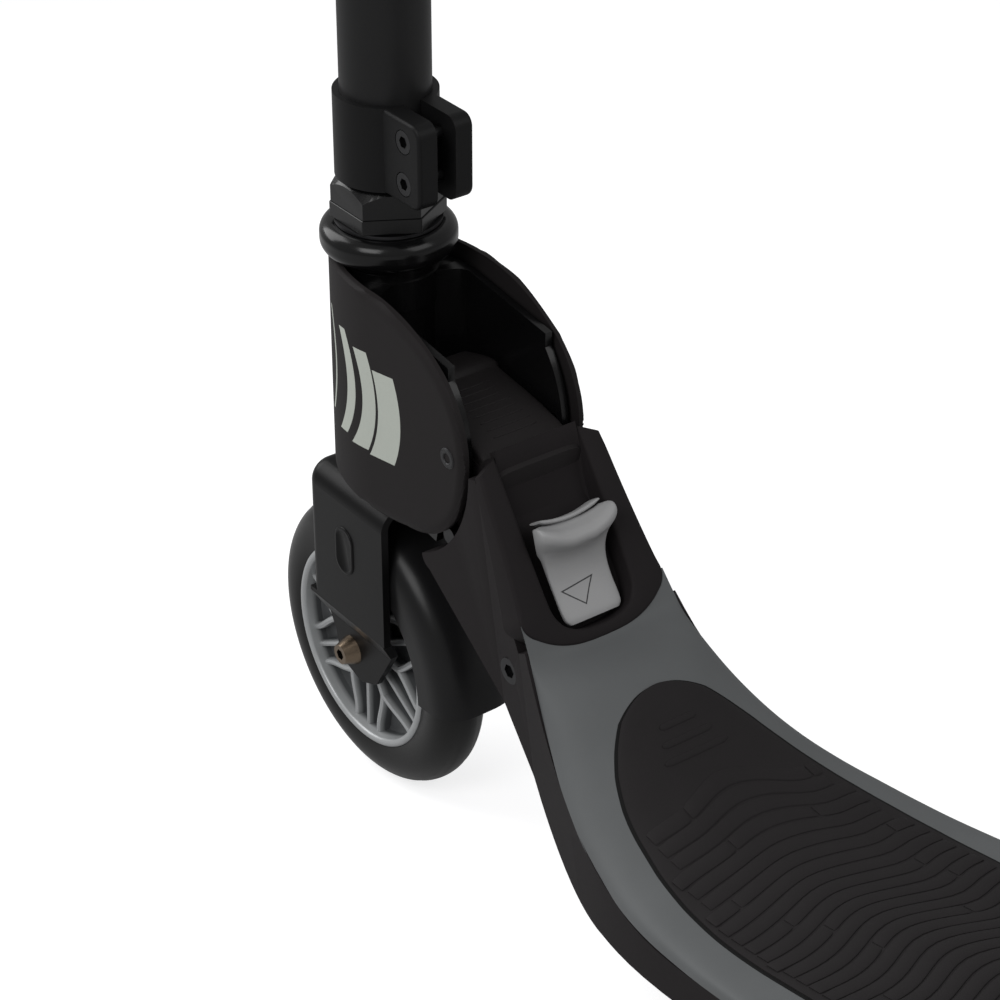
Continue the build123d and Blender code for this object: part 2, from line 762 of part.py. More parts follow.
def deck_frame():
    body = frame_body() + knuckle()
    body -= panel_zone(0.0)
    body -= recess()
    above = [on_panel(-2, -recess_depth), on_panel(51, -recess_depth), on_panel(51, 5), on_panel(-2, 5)]
    body -= polygon(above, -recess_half, recess_half)
    body -= lever_well()
    body -= lever_seat()
    body -= rod_y(pivot_radius + 1.5 + seat, -40, 40, pivot_x, pivot_z)
    body -= lock_slot(bracket_inner + bracket_plate + 0.5, lock_reach - 4, lock_reach + lock_travel + 5,
                      2 * (lock_pin_radius + 0.1))
    body -= lock_slot(7.0, 42, 96, 13.0)
    hollow_low = deck_bottom + 3
    tray = block(tail_x() + 12, front_x - 236, -deck_half + 12, deck_half - 12, hollow_low, deck_edge + 1)
    body -= tray
    x, z = lever_pin_place()
    body -= rod_y(lever_pin_radius + running, -24, 24, x, z)
    x, y, z = side_bolt_place()
    for bore in mirrored(rod_y(3 + seat, y - 13, y, x, z) + rod_y(5.2 + seat, y - 2.62, y + 9, x, z)):
        body -= bore
    body -= rib_zone(0.05)
    for x in rear_bolt_places():
        for side in (-1, 1):
            body -= rod_z(2.5 + seat, deck_bottom - 1, hollow_low + 1, x, side * 24)
    return body


def panel_zone(raised):
    """Wedge at the back of the neck that the separate panel fills."""
    skirt = panel_depth
    corners = [on_panel(-30, 6), on_panel(-6, -3), on_panel(8, -skirt * 0.45), on_panel(46, -skirt),
               on_panel(62, -skirt), on_panel(62, 6)]
    zone = polygon(corners, -60, 60)
    return zone & block(0, front_x, -60, 60, 113.5 + raised, 240)


def neck_panel():
    """Black panel over the back of the neck, open where the lever sits."""
    solid_zone = frame_body() & panel_zone(0.1)
    body = solid_zone - recess() - lever_well() - lever_seat() - rib_zone(0.1)
    mouth = [on_panel(-40, -30), on_panel(4, -30), on_panel(4, 6), on_panel(-40, 6)]
    body -= polygon(mouth, -recess_half, recess_half)
    return body


def lever_seat():
    """Shallow seat round the foot of the lever."""
    return polygon([on_panel(44, 1), on_panel(63, 1), on_panel(63, -7), on_panel(44, -7)], -15.0, 15.0)


def rib_zone(grow):
    """Block of the ribbed cap over the tongue, grown on every side that meets the neck."""
    half = knuckle_half - 0.2 + grow
    lift = pivot_up - grow
    lip = [lean(-41, lift + 10.2), lean(-49, lift + 12.4), lean(-52, lift + 12.2), lean(-54, lift + 10.4)]
    rear = [on_panel(-1.5 - grow, 0), on_panel(-1.5 - grow, -5)]
    below = [lean(-101.5, lift - 0.9), lean(-52, lift + 7.2), lean(-41, lift + 7.8)]
    return polygon(lip + rear + below, -half, half)


def rib_cover():
    """Ribbed cap on top of the tongue, with a lip at its front edge."""
    cap = rib_zone(0)
    half = knuckle_half - 2
    for index in range(6):
        back = 60 + index * 6.0
        x, z = lean(-back, pivot_up + 10.4 - (back - 54) * 0.14)
        cap += rod_y(1.2, -half, half, x, z)
    return cap


def pivot_bush():
    sleeve = rod_y(pivot_radius + 1.5, knuckle_half - 14, knuckle_half + 0.1, pivot_x, pivot_z)
    flange = rod_y(pivot_radius + 2.4, knuckle_half + 0.02, bracket_inner - 0.1, pivot_x, pivot_z)
    return mirrored(sleeve + flange - rod_y(pivot_radius + running, 0, 30, pivot_x, pivot_z))


def pivot_bolt():
    face = bracket_inner + bracket_plate + 0.1
    bolt = rod_y(pivot_radius, -face - 0.5, face, pivot_x, pivot_z)
    return bolt + rod_y(9, face, face + 2.0, pivot_x, pivot_z)


def pivot_nut():
    face = bracket_inner + bracket_plate + 0.1
    cap = rod_y(9, -face - 2.0, -face, pivot_x, pivot_z)
    return cap - rod_y(pivot_radius + seat, -face - 0.6, 0, pivot_x, pivot_z)


def lock_pin():
    half = bracket_inner + bracket_plate
    return rod_y(lock_pin_radius, -half, half, lock_x, lock_z)


def on_lock(reach):
    """Place on the line from the fold pivot through the lock pin, its Z along that line."""
    x, z = lean(*pivot_point(lock_angle, reach))
    return Pos(x, 0, z) * Rot(0, 90 - (lock_angle + rake), 0)


def lock_carriage():
    """Block that carries the lock pin, with a rod down to the cross pin that the lever pushes."""
    body = lock_slot(6.6, lock_reach - 6, lock_reach + 7, 11.6)
    rod = on_lock(lock_reach + 16.5) * Cylinder(3, 21)
    flange = on_lock(lock_reach + 26.7) * Cylinder(5.4, 1.0)
    x, z = lean(*pivot_point(lock_angle, lock_reach + push_reach))
    cross = rod_y(cross_radius, -6.6, 6.6, x, z)
    return body + rod + flange + cross - rod_y(lock_pin_radius + seat, -30, 30, lock_x, lock_z)


def coil(radius, wire, length, turns):
    path = Helix(pitch=length / turns, height=length, radius=radius)
    section = Plane(origin=path @ 0, z_dir=path % 0) * Circle(wire)
    return sweep(section, path=path, is_frenet=True)


def lock_spring():
    x, z = lean(*pivot_point(lock_angle, lock_reach + 28))
    spring = coil(4.2, 0.6, 12.0, 5)
    return Pos(x, 0, z) * Rot(0, 270 - (lock_angle + rake) + 180, 0) * spring


def release_lever():
    """Grey lever: curved lip, stalk, pivot barrel and a finger that presses the lock carriage."""
    px, pz = lever_pin_place()
    outside = [on_panel(33, 5.5), on_panel(30, 8.8), on_panel(22, 11.5)]
    lip_line = outside + [on_panel(19, 10.5), on_panel(22, 8.0), on_panel(30, 4.0)]
    lip = polygon(lip_line, -lever_half, lever_half)
    lip = fillet(lip.edges().filter_by(Axis.Y), 1.0)
    bend = [on_panel(33, 5.5), on_panel(30, 4.0), on_panel(46, -10), on_panel(52, -12), on_panel(54, -8)]
    stalk = polygon(bend, -8.6, 8.6)
    plate = polygon([on_panel(46, -4.5), on_panel(48, -0.4), on_panel(60, -0.4), on_panel(60, -3.2),
                     on_panel(56, -11), on_panel(50, -12)], -8.6, 8.6)
    barrel = rod_y(5.0, -8.6, 8.6, px, pz)
    body = lip + stalk + plate + barrel
    x, z = lean(*pivot_point(lock_angle, lock_reach + push_reach))
    under = z + cross_radius + push_play
    finger = [(px - 2, pz + 4.8), (px + 3, pz + 1.5), (x, under), (x + 2, under + 0.5), (x + 2, under + 4)]
    for prong in mirrored(polygon(finger, 3.7, 6.4)):
        body += prong
    return body - rod_y(lever_pin_radius + running, -20, 20, px, pz)


def lever_pin():
    x, z = lever_pin_place()
    return rod_y(lever_pin_radius, -22, 22, x, z)


def side_bolt_place():
    """Middle of the left neck bolt's head face."""
    return (front_x - 137.0, neck_half + 2.0, 105.0)


def side_bolts():
    x, y, z = side_bolt_place()
    return mirrored(socket_screw(y, 12, x, z, radius=3, head_radius=5.2, head_height=2.6))


def deck_shell():
    """Grey upper shell of the deck, swept up the foot of the neck."""
    lower = seam_curve(0.1)
    upper = seam_curve(deck_top - deck_edge)
    tail = tail_x()
    outline = [
        lower,
        Line(lower @ 1, (tail, deck_edge + 0.1)),
        Line((tail, deck_edge + 0.1), (tail, deck_top)),
        Line((tail, deck_top), upper @ 1),
        upper,
        Line(upper @ 0, lower @ 0),
    ]
    body = side_plate(outline, -deck_half, deck_half) & plan_body(0, 260)
    body -= block(0, front_x, -deck_half, deck_half, 113.4, 260)
    return body - pad_body(deck_top - deck_edge - 2.9, 20, gap)


def pad_zone(low, grow):
    """Outline of the grip pad: rounded, narrowing to a nose on the neck's foot."""
    nose = front_x - 184 + grow
    wide = front_x - 290
    tail = tail_x() + 36 - grow
    half = pad_half + grow
    shoulder = (front_x - 192 + grow * 0.8, 24 + grow * 0.6)
    neck = (front_x - 207 + grow * 0.5, 34.4 + grow * 0.8)
    waist = (front_x - 238 + grow * 0.2, 43.4 + grow)
    side = Spline((nose, 0), shoulder, neck, waist, (wide, half), tangents=[(0, 1), (-1, 0)])
    outline = [
        side,
        Line((wide, half), (tail + 18, half)),
        RadiusArc((tail + 18, half), (tail, half - 18), -18),
        Line((tail, half - 18), (tail, 0)),
        Line((tail, 0), (nose, 0)),
    ]
    half_pad = extrude(Pos(0, 0, low) * make_face(outline), amount=140 - low)
    return half_pad + mirror(half_pad, about=Plane.XZ)


def pad_body(low_lift, high_lift, grow):
    """Block between two curves that run parallel to the seam, inside the pad's outline."""
    lower = seam_curve(low_lift)
    upper = seam_curve(high_lift)
    tail = tail_x()
    outline = [
        lower,
        Line(lower @ 1, (tail, deck_edge + low_lift)),
        Line((tail, deck_edge + low_lift), (tail, deck_edge + high_lift)),
        Line((tail, deck_edge + high_lift), upper @ 1),
        upper,
        Line(upper @ 0, lower @ 0),
    ]
    return side_plate(outline, -deck_half, deck_half) & pad_zone(20, grow)


def grip_pad():
    return pad_body(deck_top - deck_edge - 2.9, pad_top - deck_edge, 0.0)


# Rear end, in the ground frame

def rear_bolt_places():
    return (tail_x() + 22, tail_x() + 48)


def rear_fork():
    """Two steel dropout plates joined by a bridge that is screwed under the deck."""
    base = tail_x() + 60
    outer = rear_inner + rear_plate
    outline = [(base, deck_bottom - 3.4), (base, deck_bottom - 0.05), (tail_x() - 2, deck_bottom - 0.05),
               (tail_x() - 8, 52), (rear_x + 26, 72), (rear_x + 8, 76), (rear_x - 9, 74), (rear_x - 15, 62),
               (rear_x - 8, 52), (rear_x + 8, 48), (rear_x + 40, deck_bottom - 3.4)]
    cheek = polygon(outline, rear_inner, outer)
    bridge = block(tail_x() + 2, base, -32, 32, deck_bottom - 3.4, deck_bottom - 0.05)
    body = bridge
    for side in mirrored(cheek):
        body += side
    body -= rod_y(axle_radius + running, -30, 30, rear_x, wheel_radius)
    for x in rear_bolt_places():
        for side in (-1, 1):
            body -= rod_z(2.6, deck_bottom - 6, deck_bottom + 1, x, side * 24)
    return body


def rear_screws():
    screws = []
    for x in rear_bolt_places():
        for side in (-1, 1):
            head = rod_z(4.6, deck_bottom - 6.0, deck_bottom - 3.45, x, side * 24)
            shank = rod_z(2.5, deck_bottom - 4, deck_bottom + 2.9, x, side * 24)
            socket = Pos(x, side * 24, deck_bottom - 6.1) * extrude(RegularPolygon(2.2, 6), amount=1.8)
            screws.append(head + shank - socket)
    return screws


def brake_hinge():
    return (tail_x() + 8, deck_top + 9)


def brake_mount():
    """Small saddle on the deck's tail with two ears for the brake's hinge pin."""
    x, z = brake_hinge()
    ears = []
    for side in (-1, 1):
        low = min(side * 21, side * 25)
        ear = rod_y(5, low, low + 4, x, z) + block(x - 5, x + 14, low, low + 4, deck_top + 0.05, z - 2)
        ears.append(ear - rod_y(2.5 + seat, -30, 30, x, z))
    base = block(x + 8, x + 22, -25, 25, deck_top + 0.05, deck_top + 2.5)
    return base + ears[0] + ears[1]


def brake_pin():
    x, z = brake_hinge()
    return rod_y(2.5, -25.4, 25.4, x, z)


def over_wheel(angle, radius):
    """Point round the rear axle, the angle counted from forward through up."""
    a = math.radians(angle)
    return (rear_x + radius * math.cos(a), wheel_radius + radius * math.sin(a))


def brake_fender():
    """Sheet fender over the rear wheel that the heel presses on to the tyre."""
    x, z = brake_hinge()
    inner = wheel_radius + brake_gap
    outer = inner + brake_sheet
    arch = rod_y(outer, -brake_half, brake_half) - rod_y(inner, -brake_half - 1, brake_half + 1)
    arch &= polygon([(0, 0), (120, 76), (120, 120), (-120, 120), (-120, 10)], -40, 40)
    arm = polygon([(x - 4.5, z + 2), (x + 3.5, z + 3.5), over_wheel(33, outer + 2), over_wheel(38, outer),
                   over_wheel(36, inner), over_wheel(30, inner)], -brake_half, brake_half)
    body = Pos(rear_x, 0, wheel_radius) * arch + arm + rod_y(5, -18, 18, x, z)
    body -= rod_y(inner, -20, 20, rear_x, wheel_radius)
    return body - rod_y(2.5 + running, -30, 30, x, z)


def brake_shoe():
    """Wear plate riveted inside the fender."""
    inner = wheel_radius + brake_gap - 2.0
    shoe = rod_y(inner + 1.95, -9, 9) - rod_y(inner, -10, 10)
    shoe &= polygon([(0, 0), (-18, 120), (26, 120)], -9, 9)
    return Pos(rear_x, 0, wheel_radius) * shoe


def brake_spring():
    x, z = brake_hinge()
    return Pos(x, 18.7, z) * Rot(-90, 0, 0) * coil(4.0, 0.5, 1.6, 1.4)


# Build

os.makedirs("parts", exist_ok=True)

wheel_faces = {"front": lug_inner, "rear": rear_inner}
axle_faces = {"front": lug_inner + lug_plate, "rear": rear_inner + rear_plate}
axle_places = {"front": front_x, "rear": rear_x}
for end in ("front", "rear"):
    place = Pos(axle_places[end], 0, wheel_radius)
    if end == "front":
        place = place * Rot(0, -rake, 0)
    save(f"{end}_tyre", place * tyre())
    save(f"{end}_rim", place * rim())
    save(f"{end}_bearings", *[place * ring for ring in bearings()])
    save(f"{end}_axle_spacers", *[place * ring for ring in axle_spacers(wheel_faces[end] - 0.02)])
    save(f"{end}_axle_bolt", place * axle_bolt(axle_faces[end]))
    save(f"{end}_axle_nut", place * axle_nut(axle_faces[end]))

leaning = {
    "fork": fork,
    "steerer_tube": steerer,
    "front_mudguard": front_guard,
    "lower_headset_cup": lower_headset,
    "crown_race": crown_race,
    "upper_headset_cup": upper_headset,
    "upper_race": upper_race,
    "clamp_collar": clamp_collar,
    "stem_tube": stem_tube,
    "stem_bush": stem_bush,
    "height_clamp": height_clamp,
    "clamp_skewer": skewer,
    "cam_pin": cam_pin,
    "clamp_lever": clamp_lever,
    "inner_tube": inner_tube,
    "guide_key": guide_key,
    "handlebar": handlebar,
    "tee_joint": tee_joint,
    "fold_bracket": fold_bracket,
}
for name, make in leaning.items():
    save(name, in_lean(make()))

nut_low = ring_top + 1.65
save("thin_lock_nut", in_lean(head_nut(nut_low, thin_nut_height - 0.05, nut_across + 1, False)))
save("tall_top_nut", in_lean(head_nut(nut_low + thin_nut_height, tall_nut_height, nut_across, True)))
save("headset_balls", in_lean(headset_balls(head_bottom - 5.5)), in_lean(headset_balls(ring_top - 5)))
save("collar_screws", *[in_lean(screw) for screw in collar_screws()])
save("grips", *[in_lean(grip) for grip in grips()])

cover = side_cover()
save("left_cover", in_lean(cover))
save("right_cover", in_lean(mirror(cover, about=Plane.XZ)))
save("cover_screws", *[in_lean(screw) for screw in mirrored(cover_screw())])

grounded = {
    "deck_frame": deck_frame,
    "deck_shell": deck_shell,
    "grip_pad": grip_pad,
    "neck_panel": neck_panel,
    "rib_cover": rib_cover,
    "pivot_bolt": pivot_bolt,
    "pivot_nut": pivot_nut,
    "lock_pin": lock_pin,
    "lock_carriage": lock_carriage,
    "lock_spring": lock_spring,
    "release_lever": release_lever,
    "lever_pin": lever_pin,
    "rear_fork": rear_fork,
    "brake_mount": brake_mount,
    "brake_pin": brake_pin,
    "brake_fender": brake_fender,
    "brake_shoe": brake_shoe,
    "brake_spring": brake_spring,
}
for name, make in grounded.items():
    save(name, make())
save("pivot_bushes", *pivot_bush())
save("side_bolts", *side_bolts())
save("rear_fork_screws", *rear_screws())
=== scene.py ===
import json
import math

import bmesh
import bpy
from mathutils import Matrix, Vector


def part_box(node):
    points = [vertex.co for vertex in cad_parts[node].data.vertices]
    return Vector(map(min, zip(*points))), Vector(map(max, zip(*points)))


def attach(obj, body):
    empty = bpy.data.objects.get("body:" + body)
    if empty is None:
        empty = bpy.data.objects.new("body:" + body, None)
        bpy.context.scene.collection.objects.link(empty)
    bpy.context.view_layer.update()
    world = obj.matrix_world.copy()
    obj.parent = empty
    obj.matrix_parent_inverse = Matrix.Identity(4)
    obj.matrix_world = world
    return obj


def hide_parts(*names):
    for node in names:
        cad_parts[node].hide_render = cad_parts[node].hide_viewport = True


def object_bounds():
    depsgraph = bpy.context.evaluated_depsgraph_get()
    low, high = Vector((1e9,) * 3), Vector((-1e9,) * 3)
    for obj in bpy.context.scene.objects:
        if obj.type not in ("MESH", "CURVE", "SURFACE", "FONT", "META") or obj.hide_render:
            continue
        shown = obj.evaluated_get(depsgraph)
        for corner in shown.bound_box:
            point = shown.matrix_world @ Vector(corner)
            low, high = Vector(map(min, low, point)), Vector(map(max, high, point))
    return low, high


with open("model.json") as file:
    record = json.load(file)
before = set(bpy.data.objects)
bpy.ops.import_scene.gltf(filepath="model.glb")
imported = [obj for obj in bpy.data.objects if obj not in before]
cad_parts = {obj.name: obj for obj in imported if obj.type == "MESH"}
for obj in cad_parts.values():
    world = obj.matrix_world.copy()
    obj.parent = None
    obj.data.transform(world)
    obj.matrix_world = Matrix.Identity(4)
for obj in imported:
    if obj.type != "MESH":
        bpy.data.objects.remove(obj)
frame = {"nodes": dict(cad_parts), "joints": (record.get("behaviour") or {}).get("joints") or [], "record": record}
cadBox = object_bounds()
record = frame["record"]
joints = {joint["name"]: joint for joint in frame["joints"]}

# places that everything else hangs on, all taken from the frame


def middle(node):
    low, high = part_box(node)
    return (low + high) / 2


mm = 0.001
frontAxle = middle("front_tyre")
rearAxle = middle("rear_tyre")
steerUp = Vector(joints["steer"]["axis"]).normalized()
leftward = Vector((0, 1, 0))
leanFrame = Matrix((leftward.cross(steerUp), leftward, steerUp)).transposed().to_4x4()
leanFrame = Matrix.Translation(frontAxle) @ leanFrame  # Z runs up the stem, from the front axle
rakeAngle = math.atan2(-steerUp.x, steerUp.z)


slopeShape = {"topBack": 131.0, "topHeight": 177.0, "footBack": 160.0, "footHeight": 113.0}


def slopeFrame():
    shape = slopeShape
    top = Vector((frontAxle.x - shape["topBack"] * mm, 0, shape["topHeight"] * mm))
    foot = Vector((frontAxle.x - shape["footBack"] * mm, 0, shape["footHeight"] * mm))
    down = (foot - top).normalized()
    out = leftward.cross(down)
    return Matrix.Translation(top) @ Matrix((down, -leftward, out)).transposed().to_4x4()


# shader nodes


class Wire:
    # one value on its way through the nodes; sums and products add their Math nodes
    def __init__(self, paint, socket):
        self.paint = paint
        self.socket = socket

    def math(self, operation, first, second=None):
        values = {0: first} if second is None else {0: first, 1: second}
        return self.paint.node("ShaderNodeMath", {"operation": operation}, values)

    def __add__(self, other):
        return self.math("ADD", self, other)

    def __radd__(self, other):
        return self.math("ADD", other, self)

    def __sub__(self, other):
        return self.math("SUBTRACT", self, other)

    def __rsub__(self, other):
        return self.math("SUBTRACT", other, self)

    def __mul__(self, other):
        return self.math("MULTIPLY", self, other)

    def __rmul__(self, other):
        return self.math("MULTIPLY", other, self)

    def __truediv__(self, other):
        return self.math("DIVIDE", self, other)

    def above(self, level):
        return self.math("GREATER_THAN", self, level)

    def below(self, level):
        return self.math("LESS_THAN", self, level)

    def size(self):
        return self.math("ABSOLUTE", self)


class Paint:
    # a material and the one method that adds nodes to it
    def __init__(self, name):
        self.material = bpy.data.materials.new(name)
        self.material.use_nodes = True
        self.tree = self.material.node_tree
        self.tree.nodes.clear()
        self.place = self.node("ShaderNodeTexCoord", out="Object")

    def node(self, kind, settings=None, values=None, out=0):
        made = self.tree.nodes.new(kind)
        for name, value in (settings or {}).items():
            setattr(made, name, value)
        for name, value in (values or {}).items():
            if isinstance(value, Wire):
                self.tree.links.new(value.socket, made.inputs[name])
            else:
                made.inputs[name].default_value = value
        return Wire(self, made.outputs[out]) if made.outputs else None

    def noise(self, scale, detail=3.0, stretch=None):
        where = self.place
        if stretch:
            where = self.node("ShaderNodeMapping", values={"Vector": where, "Scale": stretch})
        values = {"Vector": where, "Scale": scale, "Detail": detail, "Roughness": 0.55}
        return self.node("ShaderNodeTexNoise", values=values)

    def mix(self, amount, first, second):
        settings = {"data_type": "RGBA"}
        values = {0: amount, 6: first, 7: second}
        return self.node("ShaderNodeMix", settings, values, out=2)

    def bump(self, height, depth, strength=0.6):
        values = {"Height": height, "Distance": depth, "Strength": strength}
        return self.node("ShaderNodeBump", values=values)

    def surface(self, values):
        shader = self.node("ShaderNodeBsdfPrincipled", values=values)
        self.node("ShaderNodeOutputMaterial", values={"Surface": shader})
        return self.material


def rgba(colour):
    return (*colour, 1)


def shaded(colour, factor):
    return tuple(channel * factor for channel in colour)


# powder coat, gloss lacquer and moulded plastics differ in colour, sheen and grain; the fork's coat is darker
# still, with painted shade
coatLooks = {
    "mattBlack": {
        "colour": (0.0075, 0.0075, 0.0078), "rough": 0.44,
        "grain": 2600, "depth": 0.00006, "specular": 0.13,
    },
    "glossBlack": {
        "colour": (0.0035, 0.0035, 0.0037), "rough": 0.2,
        "grain": 900, "depth": 0.00002, "specular": 0.3,
    },
    "stemBlack": {
        "colour": (0.0125, 0.0125, 0.0129), "rough": 0.4,
        "grain": 2600, "depth": 0.00005, "specular": 0.18,
    },
    # the fork's colour is set darker than the other black coats: painted shade
    "forkShadedBlack": {
        "colour": (0.0042, 0.0041, 0.0043), "rough": 0.36,
        "grain": 1800, "depth": 0.00005, "specular": 0.14,
    },
    "guardBlack": {
        "colour": (0.0088, 0.0087, 0.0092), "rough": 0.3,
        "grain": 1400, "depth": 0.00003, "specular": 0.22,
    },
    "neckPlastic": {
        "colour": (0.0165, 0.0145, 0.0152), "rough": 0.6,
        "grain": 3400, "depth": 0.00008, "specular": 0.07,
    },
    "ribCap": {
        "colour": (0.0155, 0.0138, 0.0142), "rough": 0.5,
        "grain": 3000, "depth": 0.00007, "specular": 0.16,
    },
    "deckGrey": {
        "colour": (0.108, 0.113, 0.1155), "rough": 0.55,
        "grain": 3200, "depth": 0.00005, "specular": 0.16,
    },
    "leverGrey": {
        "colour": (0.3, 0.3, 0.303), "rough": 0.42,
        "grain": 2600, "depth": 0.00004, "specular": 0.4,
    },
    "bushPlastic": {
        "colour": (0.05, 0.05, 0.05), "rough": 0.5,
        "grain": 2400, "depth": 0.00004, "specular": 0.3,
    },
}


def coat(name):
    look = coatLooks[name]
    paint = Paint(name)
    cloud = paint.noise(38, 4)
    grain = paint.noise(look["grain"], 2)
    dust = paint.noise(420, 6)
    low = rgba(shaded(look["colour"], 0.86))
    high = rgba(shaded(look["colour"], 1.14))
    tint = paint.mix(cloud * 0.7 + grain * 0.3, low, high)
    rough = look["rough"] - 0.05 + cloud * 0.06 + dust * 0.05
    normal = paint.bump(grain * 0.8 + dust * 0.2, look["depth"])
    return paint.surface({
        "Base Color": tint,
        "Roughness": rough,
        "Specular IOR Level": look["specular"],
        "Normal": normal,
    })


metalLooks = {
    "brushedSteel": {"colour": (0.52, 0.5, 0.47), "rough": 0.3, "stretch": (1, 1, 26)},
    "bronzeBolt": {"colour": (0.21, 0.16, 0.115), "rough": 0.24, "stretch": (1, 18, 1)},
    "darkSteel": {"colour": (0.05, 0.05, 0.052), "rough": 0.38, "stretch": (14, 1, 14)},
}


def metal(name):
    look = metalLooks[name]
    paint = Paint(name)
    lines = paint.noise(900, 4, look["stretch"])
    cloud = paint.noise(160, 3)
    low, high = (rgba(shaded(look["colour"], k)) for k in (0.78, 1.12))
    tint = paint.mix(lines * 0.6 + cloud * 0.4, low, high)
    return paint.surface({
        "Base Color": tint,
        "Metallic": 1.0,
        "Roughness": look["rough"] - 0.08 + lines * 0.16,
        "Normal": paint.bump(lines, 0.00003, 0.5),
    })


coverStripes = [
    # front edge, back edge, how far the middle of each bows back, top and bottom, in the leaning frame
    {"front": -0.0382, "back": -0.0529, "frontBow": 0.0046, "backBow": 0.0044,
     "top": 0.1556, "bottom": 0.1186},
    {"front": -0.0251, "back": -0.0356, "frontBow": 0.0074, "backBow": 0.0056,
     "top": 0.1588, "bottom": 0.1170},
    {"front": -0.0134, "back": -0.0194, "frontBow": 0.0074, "backBow": 0.0080,
     "top": 0.1612, "bottom": 0.1165},
    {"front": -0.0030, "back": -0.0046, "frontBow": 0.0055, "backBow": 0.0055,
     "top": 0.1640, "bottom": 0.1190},
]
stripeSlant = -0.18


def leaningPlace(paint):
    # Object coordinates turned so that X and Z run across and up the stem, from the front axle
    shifted = paint.node("ShaderNodeVectorMath", {"operation": "SUBTRACT"}, {0: paint.place, 1: frontAxle})
    return paint.node("ShaderNodeMapping", values={"Vector": shifted, "Rotation": (0, rakeAngle, 0)})


def parts(paint, vector):
    made = paint.node("ShaderNodeSeparateXYZ", values={"Vector": vector})
    return [Wire(paint, socket) for socket in made.socket.node.outputs]


def coverPaint():
    look = coatLooks["ribCap"]
    paint = Paint("coverPlastic")
    x, y, z = parts(paint, leaningPlace(paint))
    stripes = None
    for stripe in coverStripes:
        middleHeight = (stripe["top"] + stripe["bottom"]) / 2
        halfHeight = (stripe["top"] - stripe["bottom"]) / 2
        share = (z - middleHeight) / halfHeight
        swell = 1 - share * share
        ends = z - (x - stripe["back"]) * stripeSlant
        inside = (x + swell * stripe["backBow"]).above(stripe["back"])
        inside = inside * (x + swell * stripe["frontBow"]).below(stripe["front"])
        inside = inside * ends.above(stripe["bottom"]) * ends.below(stripe["top"])
        stripes = inside if stripes is None else stripes + inside
    cloud = paint.noise(45, 4)
    grain = paint.noise(3400, 2)
    beads = paint.noise(5200, 1)
    low, high = (rgba(shaded(look["colour"], k)) for k in (0.9, 1.14))
    tint = paint.mix(cloud * 0.6 + grain * 0.4, low, high)
    foil = paint.mix(beads, (0.36, 0.38, 0.345, 1), (0.5, 0.53, 0.48, 1))
    return paint.surface({
        "Base Color": paint.mix(stripes, tint, foil),
        "Roughness": 0.56 + cloud * 0.06 - stripes * 0.14,
        "Specular IOR Level": 0.09,
        "Normal": paint.bump(grain * (1 - stripes) + stripes * 2.5, 0.00006),
    })


def tyrePaint():
    paint = Paint("tyreBlack")
    cloud = paint.noise(30, 5)
    scuff = paint.noise(700, 6, (1, 0.3, 1))
    tint = paint.mix(cloud * 0.5 + scuff * 0.5, (0.002, 0.002, 0.0021, 1), (0.0042, 0.004, 0.0039, 1))
    return paint.surface({
        "Base Color": tint,
        "Roughness": 0.24 + scuff * 0.14,
        "Specular IOR Level": 0.3,
        "Normal": paint.bump(scuff, 0.00004, 0.4),
    })


def wheelPaint():
    paint = Paint("wheelCore")
    x, y, z = parts(paint, paint.place)
    height = y.size()
    raised = ((height - 0.0062) * 420)
    raised = paint.node("ShaderNodeClamp", values={"Value": raised})
    cloud = paint.noise(60, 4)
    flake = paint.noise(3800, 2)
    # the sunken web is painted dark, painted shade between the ribs; the raised ribs, rim and hub are painted
    # light, partly the alloy's own grey and partly painted highlight
    web = paint.mix(cloud, (0.055, 0.058, 0.06, 1), (0.078, 0.081, 0.084, 1))
    edge = paint.mix(flake, (0.3, 0.31, 0.315, 1), (0.46, 0.47, 0.475, 1))
    return paint.surface({
        "Base Color": paint.mix(raised, web, edge),
        "Metallic": raised * 0.35,
        "Roughness": 0.46 - raised * 0.1 + flake * 0.05,
        "Normal": paint.bump(flake, 0.00003, 0.5),
    })


def rubberPaint(name, colour):
    paint = Paint(name)
    cloud = paint.noise(55, 5)
    grain = paint.noise(1700, 5)
    speck = paint.noise(5200, 2)
    tint = paint.mix(cloud * 0.5 + grain * 0.5, rgba(shaded(colour, 0.78)), rgba(shaded(colour, 1.25)))
    return paint.surface({
        "Base Color": tint,
        "Roughness": 0.66 + grain * 0.14,
        "Specular IOR Level": 0.15,
        "Normal": paint.bump(grain * 0.7 + speck * 0.3, 0.00012, 0.7),
    })


